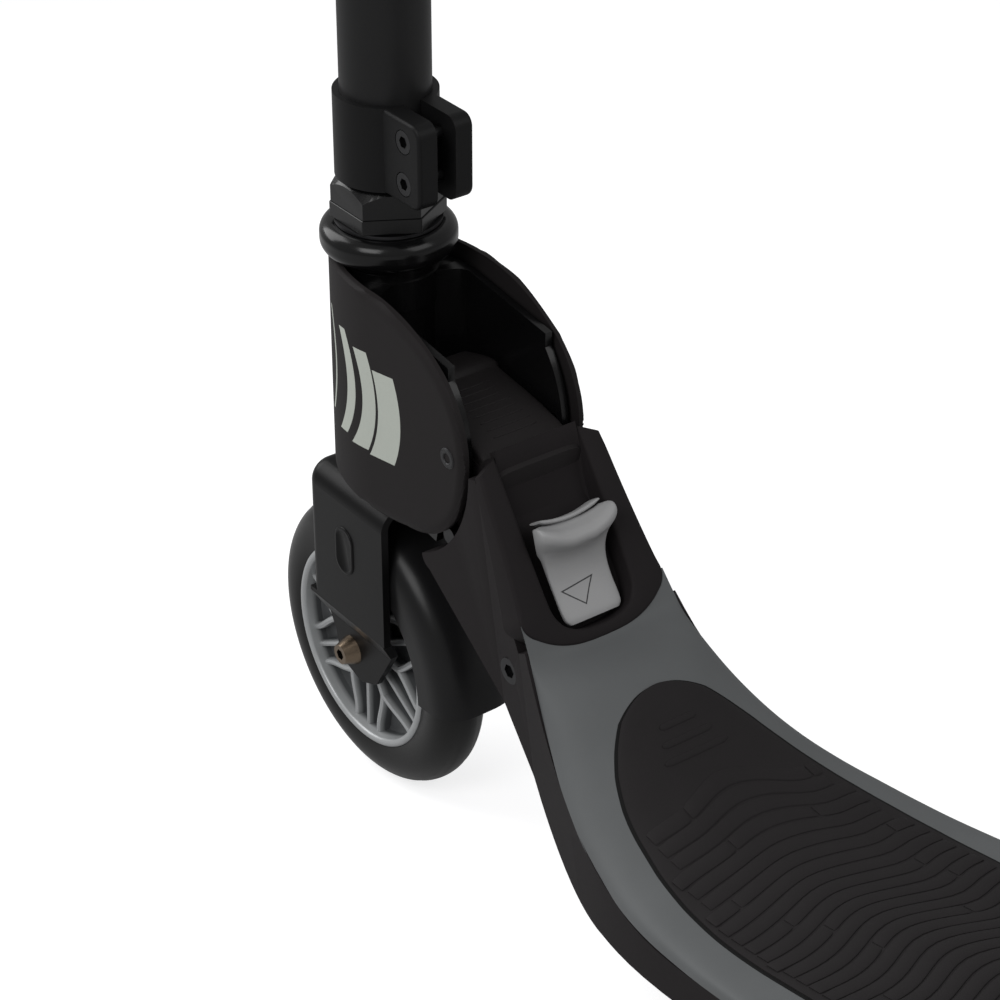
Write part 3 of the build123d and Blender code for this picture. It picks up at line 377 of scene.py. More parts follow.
def leverPaint():
    look = coatLooks["leverGrey"]
    paint = Paint("leverMoulding")
    # an arrow is engraved as three lines on the foot, drawn in the slope's own plane
    place = slopeFrame()
    angles = place.to_quaternion().to_euler()
    values = {0: paint.place, 1: place.translation}
    shifted = paint.node("ShaderNodeVectorMath", {"operation": "SUBTRACT"}, values)
    values = {"Vector": shifted, "Rotation": angles}
    turned = paint.node("ShaderNodeMapping", {"vector_type": "TEXTURE"}, values)
    x, y, z = parts(paint, turned)
    corners = [(0.0468, -0.0098), (0.0452, 0.0042), (0.0540, -0.0022)]
    reach = None
    for i in range(3):
        ax, ay = corners[i]
        bx, by = corners[(i + 1) % 3]
        length = math.hypot(bx - ax, by - ay)
        nx, ny = (by - ay) / length, -(bx - ax) / length
        edge = (x - ax) * nx + (y - ay) * ny
        cx, cy = corners[(i + 2) % 3]
        if (cx - ax) * nx + (cy - ay) * ny > 0:
            edge = edge * -1
        reach = edge if reach is None else reach.math("MAXIMUM", reach, edge)
    line = reach.size().below(0.00026)
    cloud = paint.noise(60, 4)
    grain = paint.noise(2600, 2)
    low, high = (rgba(shaded(look["colour"], k)) for k in (0.9, 1.08))
    tint = paint.mix(cloud * 0.6 + grain * 0.4, low, high)
    return paint.surface({
        "Base Color": paint.mix(line, tint, (0.03, 0.03, 0.032, 1)),
        "Roughness": look["rough"] + cloud * 0.08,
        "Specular IOR Level": look["specular"],
        "Normal": paint.bump(grain * 0.3 - line * 3, 0.0001),
    })


print("materials")
paints = {name: coat(name) for name in coatLooks}
paints.update({name: metal(name) for name in metalLooks})
paints["coverPlastic"] = coverPaint()
paints["tyreBlack"] = tyrePaint()
paints["wheelCore"] = wheelPaint()
paints["padRubber"] = rubberPaint("padRubber", (0.0165, 0.0148, 0.0154))
# a darker rubber for the band round the pad's edge: painted shade
paints["gapBlack"] = rubberPaint("gapBlack", (0.006, 0.006, 0.006))
paints["leverMoulding"] = leverPaint()


def wear(node, material):
    slots = frame["nodes"][node].data.materials
    slots.clear()
    slots.append(material)


slotPaint = {
    "tyre": "guardBlack", "wheel_alloy": "leverGrey", "bright_steel": "brushedSteel",
    "black_metal": "mattBlack",
    "gloss_black_metal": "glossBlack", "cover_plastic": "neckPlastic", "deck_grey": "deckGrey",
    "pad_rubber": "neckPlastic", "lever_grey": "leverGrey", "bush_plastic": "bushPlastic",
}
nodePaint = {"fork": "forkShadedBlack", "stem_tube": "stemBlack", "rib_cover": "ribCap"}
nodePaint.update(dict.fromkeys(("front_tyre", "rear_tyre"), "tyreBlack"))
nodePaint.update(dict.fromkeys(("grip_pad", "brake_shoe"), "padRubber"))
nodePaint.update(dict.fromkeys(("front_axle_bolt", "front_axle_nut"), "bronzeBolt"))
for darkened in ("collar_screws", "side_bolts", "pivot_bolt", "pivot_nut", "lock_pin", "lock_spring"):
    nodePaint[darkened] = "darkSteel"
nodePaint.update(dict.fromkeys(("upper_race", "crown_race"), "darkSteel"))
for part in record["subparts"]:
    wear(part["node"], paints[nodePaint.get(part["node"], slotPaint[part["material_slot"]])])


# modelling helpers: pieces are drawn in millimetres and settled into the frame in metres

def settle(bm, name, body, paint, replaced=(), place=None, sharp=35):
    bmesh.ops.scale(bm, vec=(mm, mm, mm), verts=bm.verts)
    if place is not None:
        bmesh.ops.transform(bm, matrix=place, verts=bm.verts)
    bmesh.ops.remove_doubles(bm, verts=bm.verts, dist=0.000002)
    bmesh.ops.recalc_face_normals(bm, faces=bm.faces)
    mesh = bpy.data.meshes.new(name)
    bm.to_mesh(mesh)
    bm.free()
    mesh.materials.append(paint)
    mesh.polygons.foreach_set("use_smooth", [True] * len(mesh.polygons))
    mesh.set_sharp_from_angle(angle=math.radians(sharp))
    piece = bpy.data.objects.new(name, mesh)
    bpy.context.scene.collection.objects.link(piece)
    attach(piece, body)
    if replaced:
        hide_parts(*replaced)
    return piece


def easeEdges(piece, width, segments=3, angle=30):
    ease = piece.modifiers.new("easedEdges", "BEVEL")
    ease.width = width * mm
    ease.segments = segments
    ease.limit_method = "ANGLE"
    ease.angle_limit = math.radians(angle)
    ease.harden_normals = True
    ease.use_clamp_overlap = True
    return piece


def softened(node, name, body, paint, width, segments=3, sharp=20):
    # the node's own shape, joined up and given eased edges
    bm = bmesh.new()
    bm.from_mesh(frame["nodes"][node].data)
    bmesh.ops.scale(bm, vec=(1000, 1000, 1000), verts=bm.verts)
    bmesh.ops.remove_doubles(bm, verts=bm.verts, dist=0.004)
    bmesh.ops.dissolve_limit(bm, angle_limit=math.radians(1.2), verts=bm.verts, edges=bm.edges)
    return easeEdges(settle(bm, name, body, paint, (node,), None, sharp), width, segments)


def spun(bm, profile, steps=96, upright=False, turn=360, start=0):
    # turns a closed outline of (radius, height) round the wheel axis, or round Z
    axis = Vector((0, 0, 1)) if upright else leftward
    dots = [bm.verts.new((r, 0, h) if upright else (r, h, 0)) for r, h in profile]
    rim = [bm.edges.new((dots[i - 1], dots[i])) for i in range(len(dots))]
    bmesh.ops.rotate(bm, cent=(0, 0, 0), matrix=Matrix.Rotation(math.radians(start), 3, axis), verts=dots)
    whole = turn == 360
    made = bmesh.ops.spin(
        bm, geom=dots + rim, cent=(0, 0, 0), axis=axis, angle=math.radians(turn), steps=steps, use_merge=whole
    )
    if not whole:
        bmesh.ops.contextual_create(bm, geom=rim)
        end = [part for part in made["geom_last"] if isinstance(part, bmesh.types.BMEdge)]
        bmesh.ops.contextual_create(bm, geom=end)


def skinned(bm, rings, folded=False):
    # bridges one closed loop to the next and caps both ends; a folded loop runs out and back along itself
    made = []
    for ring in rings:
        dots = [bm.verts.new(spot) for spot in ring]
        if made:
            for i in range(len(dots)):
                bm.faces.new((made[-1][i - 1], made[-1][i], dots[i], dots[i - 1]))
        made.append(dots)
    for dots in (made[0], made[-1]):
        if folded:
            for i in range(len(dots) // 2 - 1):
                bm.faces.new((dots[i], dots[i + 1], dots[-i - 2], dots[-i - 1]))
        else:
            bm.faces.new(dots)


def squircle(half, low, high, power, count=28):
    # rounded outline across Y and Z, from a circle at power 2 to a box at high powers
    ring = []
    for i in range(count):
        a = 2 * math.pi * (i + 0.5) / count
        c = math.copysign(abs(math.cos(a)) ** (2 / power), math.cos(a))
        s = math.copysign(abs(math.sin(a)) ** (2 / power), math.sin(a))
        ring.append((half * c, (low + high) / 2 + s * (high - low) / 2))
    return ring


def between(table, spot, column):
    # smooth value of one column at a row number that needn't be whole
    i = min(max(int(spot), 0), len(table) - 2)
    t = spot - i
    a, b, c, d = (table[min(max(i + k, 0), len(table) - 1)][column] for k in (-1, 0, 1, 2))
    return 0.5 * (2 * b + (c - a) * t + (2 * a - 5 * b + 4 * c - d) * t * t + (3 * b - a - 3 * c + d) * t ** 3)


# wheels

wheelShape = {
    "tyreOuter": 62.3, "tyreHalf": 11.8, "tyreInner": 43.6, "shoulder": 50.6, "ridge": 0.22,
    "rimOuter": 44.0, "rimInner": 40.6, "rimHalf": 12.5, "lipRound": 1.5,
    "hubRadius": 15.4, "hubHalf": 11.4, "hubBore": 11.05, "webHalf": 3.4, "webInner": 14.8,
    "branches": 6, "ribHalf": 1.5, "ribTop": 9.2,
}


def makeTyre(name, centre, body, node):
    shape = wheelShape
    crown = shape["shoulder"]
    half = shape["tyreHalf"]
    bead = shape["tyreInner"]
    profile = [(bead, half - 0.7), (bead, -half + 0.7), (bead + 0.8, -half)]
    for i in range(33):
        a = math.radians(-90 + 180 * i / 32)
        reach = shape["tyreOuter"] - crown
        dip = shape["ridge"] if i in (12, 20) else 0  # two moulding lines beside the crown
        profile.append((crown + (reach - dip) * math.cos(a), half * math.sin(a)))
    profile.append((bead + 0.8, half))
    bm = bmesh.new()
    spun(bm, profile, 128)
    place = Matrix.Translation(centre)
    return settle(bm, name, body, paints["tyreBlack"], (node,), place, 60)


def ribPath(bm, points, half, base, top):
    # a rounded rib that stands on the web and follows points in the wheel's plane
    rings = []
    for i, (x, z) in enumerate(points):
        before = Vector(points[max(i - 1, 0)])
        after = Vector(points[min(i + 1, len(points) - 1)])
        along = (after - before).normalized()
        across = Vector((-along.y, along.x))
        ring = []
        for w, h in ((-1, 0), (-1, 0.72), (-0.72, 0.93), (0, 1), (0.72, 0.93), (1, 0.72), (1, 0)):
            spot = Vector((x, z)) + across * (half * w)
            ring.append((spot.x, base + (top - base) * h, spot.y))
        rings.append(ring)
    skinned(bm, rings)


def makeRim(name, centre, body, node):
    shape = wheelShape
    bm = bmesh.new()
    outer, inner, half, lip = (shape[key] for key in ("rimOuter", "rimInner", "rimHalf", "lipRound"))
    profile = [(outer, half - lip), (outer, -half + lip)]
    for side in (-1, 1):
        for a in (0, 30, 60, 90, 120, 150, 180)[::1 if side < 0 else -1]:
            turn = math.radians(a)
            radius = (outer + inner) / 2 + (outer - inner) / 2 * math.cos(turn)
            profile.append((radius, side * (half - lip + lip * math.sin(turn))))
    spun(bm, profile, 128)
    web = shape["webHalf"]
    disc = [(inner + 0.6, -web - 1.2), (inner - 1.6, -web), (shape["webInner"], -web)]
    spun(bm, disc + [(r, -h) for r, h in reversed(disc)], 96)
    hub = shape["hubHalf"]
    collar = [(shape["hubRadius"], -hub + 0.8), (shape["hubRadius"] - 0.8, -hub), (shape["hubBore"], -hub)]
    spun(bm, collar + [(r, -h) for r, h in reversed(collar)], 72)
    step = 2 * math.pi / shape["branches"]

    def polar(radius, angle):
        return (radius * math.cos(angle), radius * math.sin(angle))

    for i in range(shape["branches"]):
        mid = i * step + 0.2
        for side in (-1, 1):
            base, top = side * (web - 0.6), side * shape["ribTop"]
            trunk = [polar(14.6 + k * 2.3, mid) for k in range(5)]
            ribPath(bm, trunk, shape["ribHalf"] * 1.15, base, top)
            for lean in (-1, 1):
                arm = []
                for k in range(9):
                    t = k / 8
                    arm.append(polar(22.5 + 18.6 * t, mid + lean * step * 0.31 * math.sin(t * math.pi / 2)))
                ribPath(bm, arm, shape["ribHalf"], base, top)
            plain = [polar(14.6 + 26.6 * k / 6, mid + step / 2) for k in range(7)]
            ribPath(bm, plain, shape["ribHalf"] * 0.9, base, top - side * 0.5)
    place = Matrix.Translation(centre)
    return settle(bm, name, body, paints["wheelCore"], (node,), place, 40)


# front end

guardShape = {"cheekRadius": 50.5, "shoulderRadius": 57.5, "crownRadius": 71.6, "half": 17.7, "wall": 1.9}


def makeGuard():
    shape = guardShape
    outer = [(shape["cheekRadius"], shape["half"])]
    for i in range(25):
        a = math.radians(180 * i / 24)
        c = abs(math.cos(a)) ** 0.62 * (1 if math.cos(a) >= 0 else -1)
        s = math.sin(a) ** 0.8
        radius = shape["shoulderRadius"] + (shape["crownRadius"] - shape["shoulderRadius"]) * s
        outer.append((radius, shape["half"] * c))
    outer.append((shape["cheekRadius"], -shape["half"]))
    wall = shape["wall"]
    inner = []
    for r, y in reversed(outer):
        drop = wall if r > shape["shoulderRadius"] + 1 else 0
        inner.append((r - drop, y * (1 - wall / shape["half"])))
    bm = bmesh.new()
    spun(bm, outer + inner, 40, turn=103, start=-188)
    return settle(
        bm, "frontGuardShell", "steering", paints["guardBlack"], ("front_mudguard",),
        Matrix.Translation(frontAxle), 50,
    )


# side covers: a flat side with an elliptical nose, and a rounded rim at the back

coverShape = {
    "outer": 28.0, "wall": 3.2, "nose": 15.0, "straight": -35.0, "top": 183.4, "bottom": 91.0, "rim": 3.4,
    "rimDrop": 1.7, "seam": 0.25,
}
coverBack = [
    # three points to each arc of the rear outline, in the leaning frame
    ((-34, 183.4), (-62, 179.5), (-82, 169)),
    ((-82, 169), (-94.5, 150), (-95.5, 130)),
    ((-95.5, 130), (-84, 106), (-60, 95)),
    ((-60, 95), (-46, 92), (-32, 91)),
]


def arcThrough(first, second, third, steps):
    # points along the circle through three points
    ax, ay = first
    bx, by = second
    cx, cy = third
    d = 2 * (ax * (by - cy) + bx * (cy - ay) + cx * (ay - by))
    sa, sb, sc = ax * ax + ay * ay, bx * bx + by * by, cx * cx + cy * cy
    ux = (sa * (by - cy) + sb * (cy - ay) + sc * (ay - by)) / d
    uy = (sa * (cx - bx) + sb * (ax - cx) + sc * (bx - ax)) / d
    start = math.atan2(ay - uy, ax - ux)
    end = math.atan2(cy - uy, cx - ux)
    turn = (end - start + math.pi) % (2 * math.pi) - math.pi
    reach = math.hypot(ax - ux, ay - uy)
    return [(ux + reach * math.cos(start + turn * k / steps), uy + reach * math.sin(start + turn * k / steps))
            for k in range(steps + 1)]


def heightAt(line, x):
    for (ax, az), (bx, bz) in zip(line, line[1:]):
        if min(ax, bx) <= x <= max(ax, bx) and ax != bx:
            return az + (bz - az) * (x - ax) / (bx - ax)
    return line[-1][1]


def makeCover(name, side, node):
    shape = coverShape
    outline = []
    for arc in coverBack:
        outline += arcThrough(*arc, 24)[0 if not outline else 1:]
    rear = min(range(len(outline)), key=lambda i: outline[i][0])
    upper, lower = outline[:rear + 1], outline[rear:]
    tip = outline[rear][0]
    stations = []
    for i in range(25):
        a = math.radians(90 * i / 24)
        stations.append((shape["straight"] + (shape["nose"] - shape["straight"]) * math.cos(a), math.sin(a)))
    run = shape["straight"] - tip - 0.03
    stations += [(shape["straight"] - run * math.sin(math.radians(90 * i / 40)), 1.0) for i in range(1, 41)]
    stations[0] = (stations[0][0] - 0.001, 0.0)
    rings = []
    for x, wide in stations:
        top = shape["top"] if x > -34 else heightAt(upper, x)
        bottom = shape["bottom"] if x > -32 else heightAt(lower, x)
        skins = ([], [])
        for k in range(31):
            share = 0.5 - 0.5 * math.cos(math.pi * k / 30)
            z = bottom + (top - bottom) * share
            near = min(math.hypot(x - ox, z - oz) for ox, oz in outline) if x < -20 else 99
            near = min(near, (top - z) * 3 + (0 if x > -34 else 9), (z - bottom) * 3 + (0 if x > -32 else 9))
            drop = shape["rimDrop"] * (1 - min(near / shape["rim"], 1)) ** 1.6
            for skin, inward in ((0, drop), (1, shape["wall"])):
                half = shape["outer"] - inward
                long = shape["nose"] - shape["straight"] - inward
                ahead = shape["straight"] + long * math.sqrt(max(1 - wide * wide, 0)) if wide < 1 else x
                skins[skin].append((ahead, side * max(half * wide, shape["seam"]), z))
        rings.append(skins[0] + skins[1][::-1])
    bm = bmesh.new()
    skinned(bm, rings, True)
    return settle(bm, name, "front_frame", paints["coverPlastic"], (node,), leanFrame, 40)


screwShape = {"x": -87.0, "z": 138.5, "radius": 4.1, "proud": 0.45, "socket": 1.9}


def makeCoverScrews():
    shape = screwShape
    face = coverShape["outer"]
    bm = bmesh.new()
    profile = [
        (shape["radius"], face - 0.9), (shape["radius"], face + 0.1),
        (shape["radius"] - 0.5, face + shape["proud"]),
        (shape["socket"] + 0.35, face + shape["proud"]), (shape["socket"], face + shape["proud"] - 0.3),
        (shape["socket"] - 0.1, face - 0.7), (0.05, face - 0.7), (0.05, face - 0.9),
    ]
    for side in (1, -1):
        spun(bm, [(r, side * h) for r, h in profile], 36)
    place = leanFrame @ Matrix.Translation(Vector((shape["x"], 0, shape["z"])) * mm)
    return settle(
        bm, "coverScrewHeads", "front_frame", paints["darkSteel"], ("cover_screws",), place, 30
    )


# cap over the tongue: (ahead of the axle, top, bottom, half width) along the leaning frame

capRows = [
    (-36.5, 145.6, 143.2, 17.0),
    (-41, 146.6, 142.6, 18.4),
    (-47, 148.2, 141.6, 19.2),
    (-51.5, 149.0, 141.0, 19.4),
    (-53.5, 148.6, 140.6, 19.4),
    (-54.6, 147.0, 140.2, 19.2),
    (-58, 146.8, 139.6, 19.0),
    (-70, 145.6, 138.0, 19.0),
    (-82, 143.8, 136.6, 19.0),
    (-92, 141.6, 134.6, 19.0),
    (-100, 139.0, 132.4, 19.0),
    (-105.5, 136.6, 130.0, 18.6),
]
capRibs = {"first": -61.5, "pitch": 4.1, "count": 8, "half": 9.5, "width": 0.75, "rise": 0.34}


def makeCap():
    bm = bmesh.new()
    rings = []
    for x, high, low, half in capRows:
        rings.append([(x, y, z) for y, z in squircle(half, low, high, 5, 40)])
    skinned(bm, rings)
    ribs = capRibs
    for i in range(ribs["count"]):
        x = ribs["first"] - i * ribs["pitch"]
        row = next(k for k in range(len(capRows) - 1) if capRows[k + 1][0] <= x)
        share = (x - capRows[row][0]) / (capRows[row + 1][0] - capRows[row][0])
        top = capRows[row][1] + share * (capRows[row + 1][1] - capRows[row][1])
        rows = []
        for k in range(9):
            y = -ribs["half"] + 2 * ribs["half"] * k / 8
            thick = ribs["width"] * (0.35 if k in (0, 8) else 1)
            ring = []
            for dx, dz in squircle(thick / 2, -0.5, ribs["rise"], 2, 8):
                ring.append((x + dx, y, top + dz))
            rows.append(ring)
        skinned(bm, rows)
    return settle(bm, "tongueCap", "deck", paints["ribCap"], ("rib_cover",), leanFrame, 50)


# slope of the neck: X runs down it, Y to the right, Z out of it

# each row: outer edge (down the slope, half width), inner edge, how far the skirt reaches below the face

panelRows = [
    (-2.4, 27.0, -7.0, 18.6, 3.2), (4.0, 27.7, 4.0, 18.6, 4.6), (14.0, 28.3, 14.0, 18.6, 6.4),
    (26.0, 29.2, 26.0, 18.6, 8.2), (38.0, 30.3, 38.0, 18.5, 10.2), (47.0, 31.3, 46.0, 18.4, 11.6),
    (53.0, 32.1, 52.0, 18.0, 12.0), (57.4, 30.2, 55.6, 16.8, 9.0), (61.2, 25.8, 58.6, 14.6, 7.0),
    (64.2, 20.2, 60.6, 11.4, 5.0), (66.3, 13.6, 61.8, 7.4, 4.4), (67.3, 6.8, 62.3, 3.6, 4.2),
    (67.6, 0.0, 62.4, 0.0, 4.2),
]
panelShape = {"face": 0.7, "round": 1.5, "wall": -9.6, "draft": 0.8}
trayRows = [
    # (down the slope, half width, floor)
    (-9.0, 18.4, -0.6), (-5.0, 18.4, -1.4), (0.0, 18.4, -3.2), (6.0, 18.3, -5.6), (12.0, 18.2, -7.3),
    (20.0, 18.2, -8.3),
    (34.0, 18.2, -8.5), (46.0, 18.0, -8.5), (52.0, 17.6, -8.5), (56.0, 15.9, -8.5), (59.0, 13.0, -8.5),
    (61.0, 9.2, -8.5), (62.0, 4.4, -8.5),
]


def makePanel():
    shape = panelShape
    place = slopeFrame()
    dense = []
    for i in range(4 * (len(panelRows) - 1) + 1):
        dense.append([between(panelRows, i / 4, column) for column in range(5)])
    path = [(row, 1) for row in dense] + [(row, -1) for row in reversed(dense[:-1])]
    rings = []
    for (outX, outY, inX, inY, skirt), side in path:
        across = Vector((outX - inX, outY - inY)).normalized()
        face, soft = shape["face"], shape["round"]
        outer = Vector((outX, outY))
        inner = Vector((inX, inY))
        ring = [(outer, -skirt)]
        for a in (0, 30, 60, 90):
            turn = math.radians(a)
            ring.append((outer - across * soft * (1 - math.cos(turn)), face - soft * (1 - math.sin(turn))))
        for a in (90, 60, 30, 0):
            turn = math.radians(a)
            ring.append((inner + across * soft * (1 - math.cos(turn)), face - soft * (1 - math.sin(turn))))
        ring.append((inner - across * shape["draft"], shape["wall"]))
        ring.append((inner + across * 1.0, shape["wall"]))
        ring.append((inner + across * 2.2, min(-skirt + 0.6, -2.4)))
        rings.append([(spot.x, side * spot.y, height) for spot, height in ring])
    bm = bmesh.new()
    skinned(bm, rings)
    settle(bm, "slopePanel", "deck", paints["neckPlastic"], ("neck_panel",), place, 50)
    bm = bmesh.new()
    rings = []
    for i in range(3 * (len(trayRows) - 1) + 1):
        x, half, floor = (between(trayRows, i / 3, column) for column in range(3))
        rings.append([(x, y, floor + z) for y, z in (
            (-half, -1.6), (-half, 0.9), (-half + 0.6, 0.25), (-half + 1.6, 0),
            (half - 1.6, 0), (half - 0.6, 0.25), (half, 0.9), (half, -1.6),
        )])
    skinned(bm, rings)
    return settle(bm, "recessFloor", "deck", paints["neckPlastic"], (), place, 50)


# release lever: (down the slope, half width, low, high, how far its middle sags down the slope)

leverRows = [
    (20.6, 13.6, 3.6, 5.2, 3.0),
    (21.2, 16.0, 2.6, 8.0, 4.4),
    (22.2, 16.9, 2.2, 10.4, 5.2),
    (23.8, 17.2, 1.8, 11.7, 5.6),
    (25.6, 17.2, 1.0, 11.6, 5.6),
    (27.2, 16.9, 0.0, 10.4, 5.4),
    (28.6, 16.2, -1.4, 8.2, 4.8),
    (30.4, 15.2, -3.0, 5.2, 3.8),
    (33.0, 14.2, -3.0, 2.4, 2.6),
    (36.4, 13.5, -4.0, 0.2, 1.4),
    (40.2, 13.1, -4.6, -1.3, 0.5),
    (44.0, 12.9, -4.8, -2.1, 0.0),
    (49.0, 12.8, -4.8, -2.2, 0.0),
    (54.0, 12.8, -4.8, -1.7, 0.0),
    (57.6, 12.4, -4.6, -1.3, 0.0),
    (59.4, 11.0, -4.2, -1.6, 0.0),
]


def makeLever():
    bm = bmesh.new()
    rings = []
    steps = 4 * (len(leverRows) - 1)
    for i in range(steps + 1):
        spot = i / 4
        x, half, low, high, sag = (between(leverRows, spot, column) for column in range(5))
        ring = []
        for y, z in squircle(half, low, high, 4.2, 44):
            bend = 1 - (y / 17.3) ** 2
            ring.append((x + sag * bend, y, z - 1.3 * min(sag / 4, 1) * bend))
        rings.append(ring)
    skinned(bm, rings)
    # the second edge of the thumb rest, just up the slope from the first
    rings = []
    for i in range(13):
        y = -13.5 + 27.0 * i / 12
        thick = 0.95 * (0.5 if i in (0, 12) else 1)
        bend = 1 - (y / 15) ** 2
        section = squircle(thick, -2.9, 4.6 - bend, 3, 14)
        rings.append([(19.6 + 2.6 * bend + across, y, 1.4 + high) for across, high in section])
    skinned(bm, rings)
    return settle(
        bm, "thumbLever", "release_lever", paints["leverMoulding"], ("release_lever",),
        slopeFrame(), 60,
    )


# deck: (seam back, seam height, crown back, crown height, half width, squareness)

deckRows = [
    (152.9, 129.3, 157.6, 118.6, 32.3, 2.3),
    (157.5, 119.3, 159.5, 115.7, 33.4, 2.5),
    (161.5, 110.2, 166.6, 112.8, 34.9, 2.5),
    (169.0, 98.0, 177.6, 108.4, 38.0, 2.2),
    (176.0, 90.0, 188.6, 100.6, 41.0, 1.9),
    (184.0, 82.0, 198.4, 91.6, 44.4, 1.9),
    (193.0, 75.0, 208.0, 83.4, 47.6, 2.05),
    (204.0, 68.4, 218.0, 76.6, 51.2, 2.3),
    (218.0, 62.8, 229.6, 71.0, 54.8, 2.7),
    (232.0, 58.6, 241.0, 66.8, 58.2, 3.1),
    (248.0, 55.5, 255.0, 63.2, 60.6, 3.7),
    (266.0, 53.7, 271.0, 60.5, 62.3, 4.5),
    (288.0, 52.9, 291.0, 58.9, 64.0, 5.5),
    (330.0, 52.9, 330.0, 58.4, 66.2, 6.5),
    (400.0, 52.9, 400.0, 58.4, 67.9, 6.8),
    (480.0, 52.9, 480.0, 58.4, 67.9, 6.8),
    (534.0, 52.9, 534.0, 58.4, 67.9, 6.8),
]
deckTail = {"back": 554.5, "round": 33.9, "straight": 34.0}
padEdge = [
    (3.58, 0), (4.15, 346), (4.8, 625), (5.5, 900), (6.5, 1225), (7.55, 1521), (8.7, 1815), (10, 2116),
    (11.1, 2304), (12.2, 2401), (16, 2401),
]  # row number and square of the pad's half width
padShape = {"rise": 1.25, "gap": 1.3, "tail": 552.0, "corner": 18.0, "firstPlank": 7.35, "pitch": 6.6}


def deckRow(spot):
    return [between(deckRows, spot, column) for column in range(6)]


def deckPoint(spot, y, lift=0.0):
    # a point of the shell's outer skin, lifted off it when asked
    seamBack, seamHeight, crownBack, crownHeight, half, power = deckRow(spot)
    share = min(abs(y) / half, 0.9999)
    rise = (1 - share ** power) ** (1 / power)
    back = seamBack + (crownBack - seamBack) * rise
    height = seamHeight + (crownHeight - seamHeight) * rise
    slide = Vector((back - seamBack, height - seamHeight)) if crownHeight - seamHeight > 1 else Vector((0, 1))
    slide = slide.normalized() * lift
    return Vector((frontAxle.x / mm - back - slide.x, y, height + slide.y))


def spotOf(back):
    # the row number whose crown lies that far back
    low, high = 0.0, len(deckRows) - 1.0
    for _ in range(40):
        spot = (low + high) / 2
        if between(deckRows, spot, 2) < back:
            low = spot
        else:
            high = spot
    return (low + high) / 2


def makeShell():
    bm = bmesh.new()
    rings = []
    count = 40
    last = len(deckRows) - 1

    def ringAt(row, wall=2.4):
        seamBack, seamHeight, crownBack, crownHeight, half, power = row
        ring = []
        for inside in (False, True):
            reach = half - (wall if inside else 0)
            for i in range(count + 1):
                a = math.pi * i / count
                c = math.copysign(abs(math.cos(a)) ** (2 / power), math.cos(a))
                s = abs(math.sin(a)) ** (2 / power)
                back = seamBack + (crownBack - seamBack) * s
                height = seamHeight + (crownHeight - seamHeight) * s
                if inside and crownHeight < seamHeight + 6:
                    back -= 0.6 * wall
                    height -= 0.25 * wall
                elif inside:
                    drop = min(wall, max(height - seamHeight, 0) * 0.6) if s < 0.6 else wall
                    height = max(height - drop, seamHeight)
                ring.append((frontAxle.x / mm - back, reach * c, height))
            if inside:
                ring[count + 1:] = list(reversed(ring[count + 1:]))
        return ring

    for i in range(last * 5 + 1):
        rings.append(ringAt(deckRow(i / 5)))
    tail = deckTail
    flat = deckRows[-1]
    for i in range(13):
        a = math.radians(90 * i / 12)
        back = tail["back"] + tail["round"] * math.sin(a) * 0.998
        half = tail["straight"] + tail["round"] * math.cos(a)
        rings.append(ringAt((back, flat[1], back, flat[3] - (0.8 if i > 10 else 0), half, flat[5])))
    skinned(bm, rings, True)
    return settle(bm, "deckTop", "deck", paints["deckGrey"], ("deck_shell",), None, 40)


def padHalf(spot):
    for (a, low), (b, high) in zip(padEdge, padEdge[1:]):
        if a <= spot <= b:
            return math.sqrt(low + (high - low) * (spot - a) / (b - a))
    return math.sqrt(padEdge[-1][1])


def padRows():
    # row numbers along the pad and its half width at each, close together at the nose and tail
    rows = []
    start = padEdge[0][0]
    for i in range(1, 13):
        spot = start + 0.57 * (i / 12) ** 2
        rows.append((spot, padHalf(spot)))
    spot = start + 0.57
    while spot < 15.9:
        spot += 0.16
        rows.append((min(spot, 15.95), padHalf(spot)))
    return rows


def tailSpots():
    shape = padShape
    rows = []
    for i in range(9):
        a = math.radians(90 * i / 8)
        back = shape["tail"] - shape["corner"] + shape["corner"] * math.sin(a)
        half = 49 - shape["corner"] + shape["corner"] * math.cos(a)
        rows.append((back, half))
    return rows


def padSkin(bm, grow, low, high, rounding, count=30):
    # a sheet over the pad's outline, from low to high above the shell
    rings = []

    def ringOn(place, half):
        ring = []
        for i in range(count + 1):
            y = half * math.sin(math.pi * (i / count - 0.5))
            edge = (abs(y) / half) ** 14
            ring.append(place(y, high - rounding * edge))
        for i in range(count + 1):
            y = half * math.sin(math.pi * (0.5 - i / count))
            ring.append(place(y, low))
        return ring

    for spot, half in padRows():
        rings.append(ringOn(lambda y, lift, spot=spot: deckPoint(spot, y, lift), half + grow))
    for back, half in tailSpots():
        def flat(y, lift, back=back):
            point = deckPoint(15.99, y, lift)
            point.x = frontAxle.x / mm - back - grow * 0.5
            return point
        rings.append(ringOn(flat, half + grow))
    skinned(bm, rings, True)


def plankWave(y, back):
    swell = 7.5 * math.exp(-(((y - 1) / 19) ** 2)) - 2.2 * math.exp(-(((y + 27) / 9) ** 2))
    return swell + 1.1 * math.sin(y / 8.5 + back / 23)


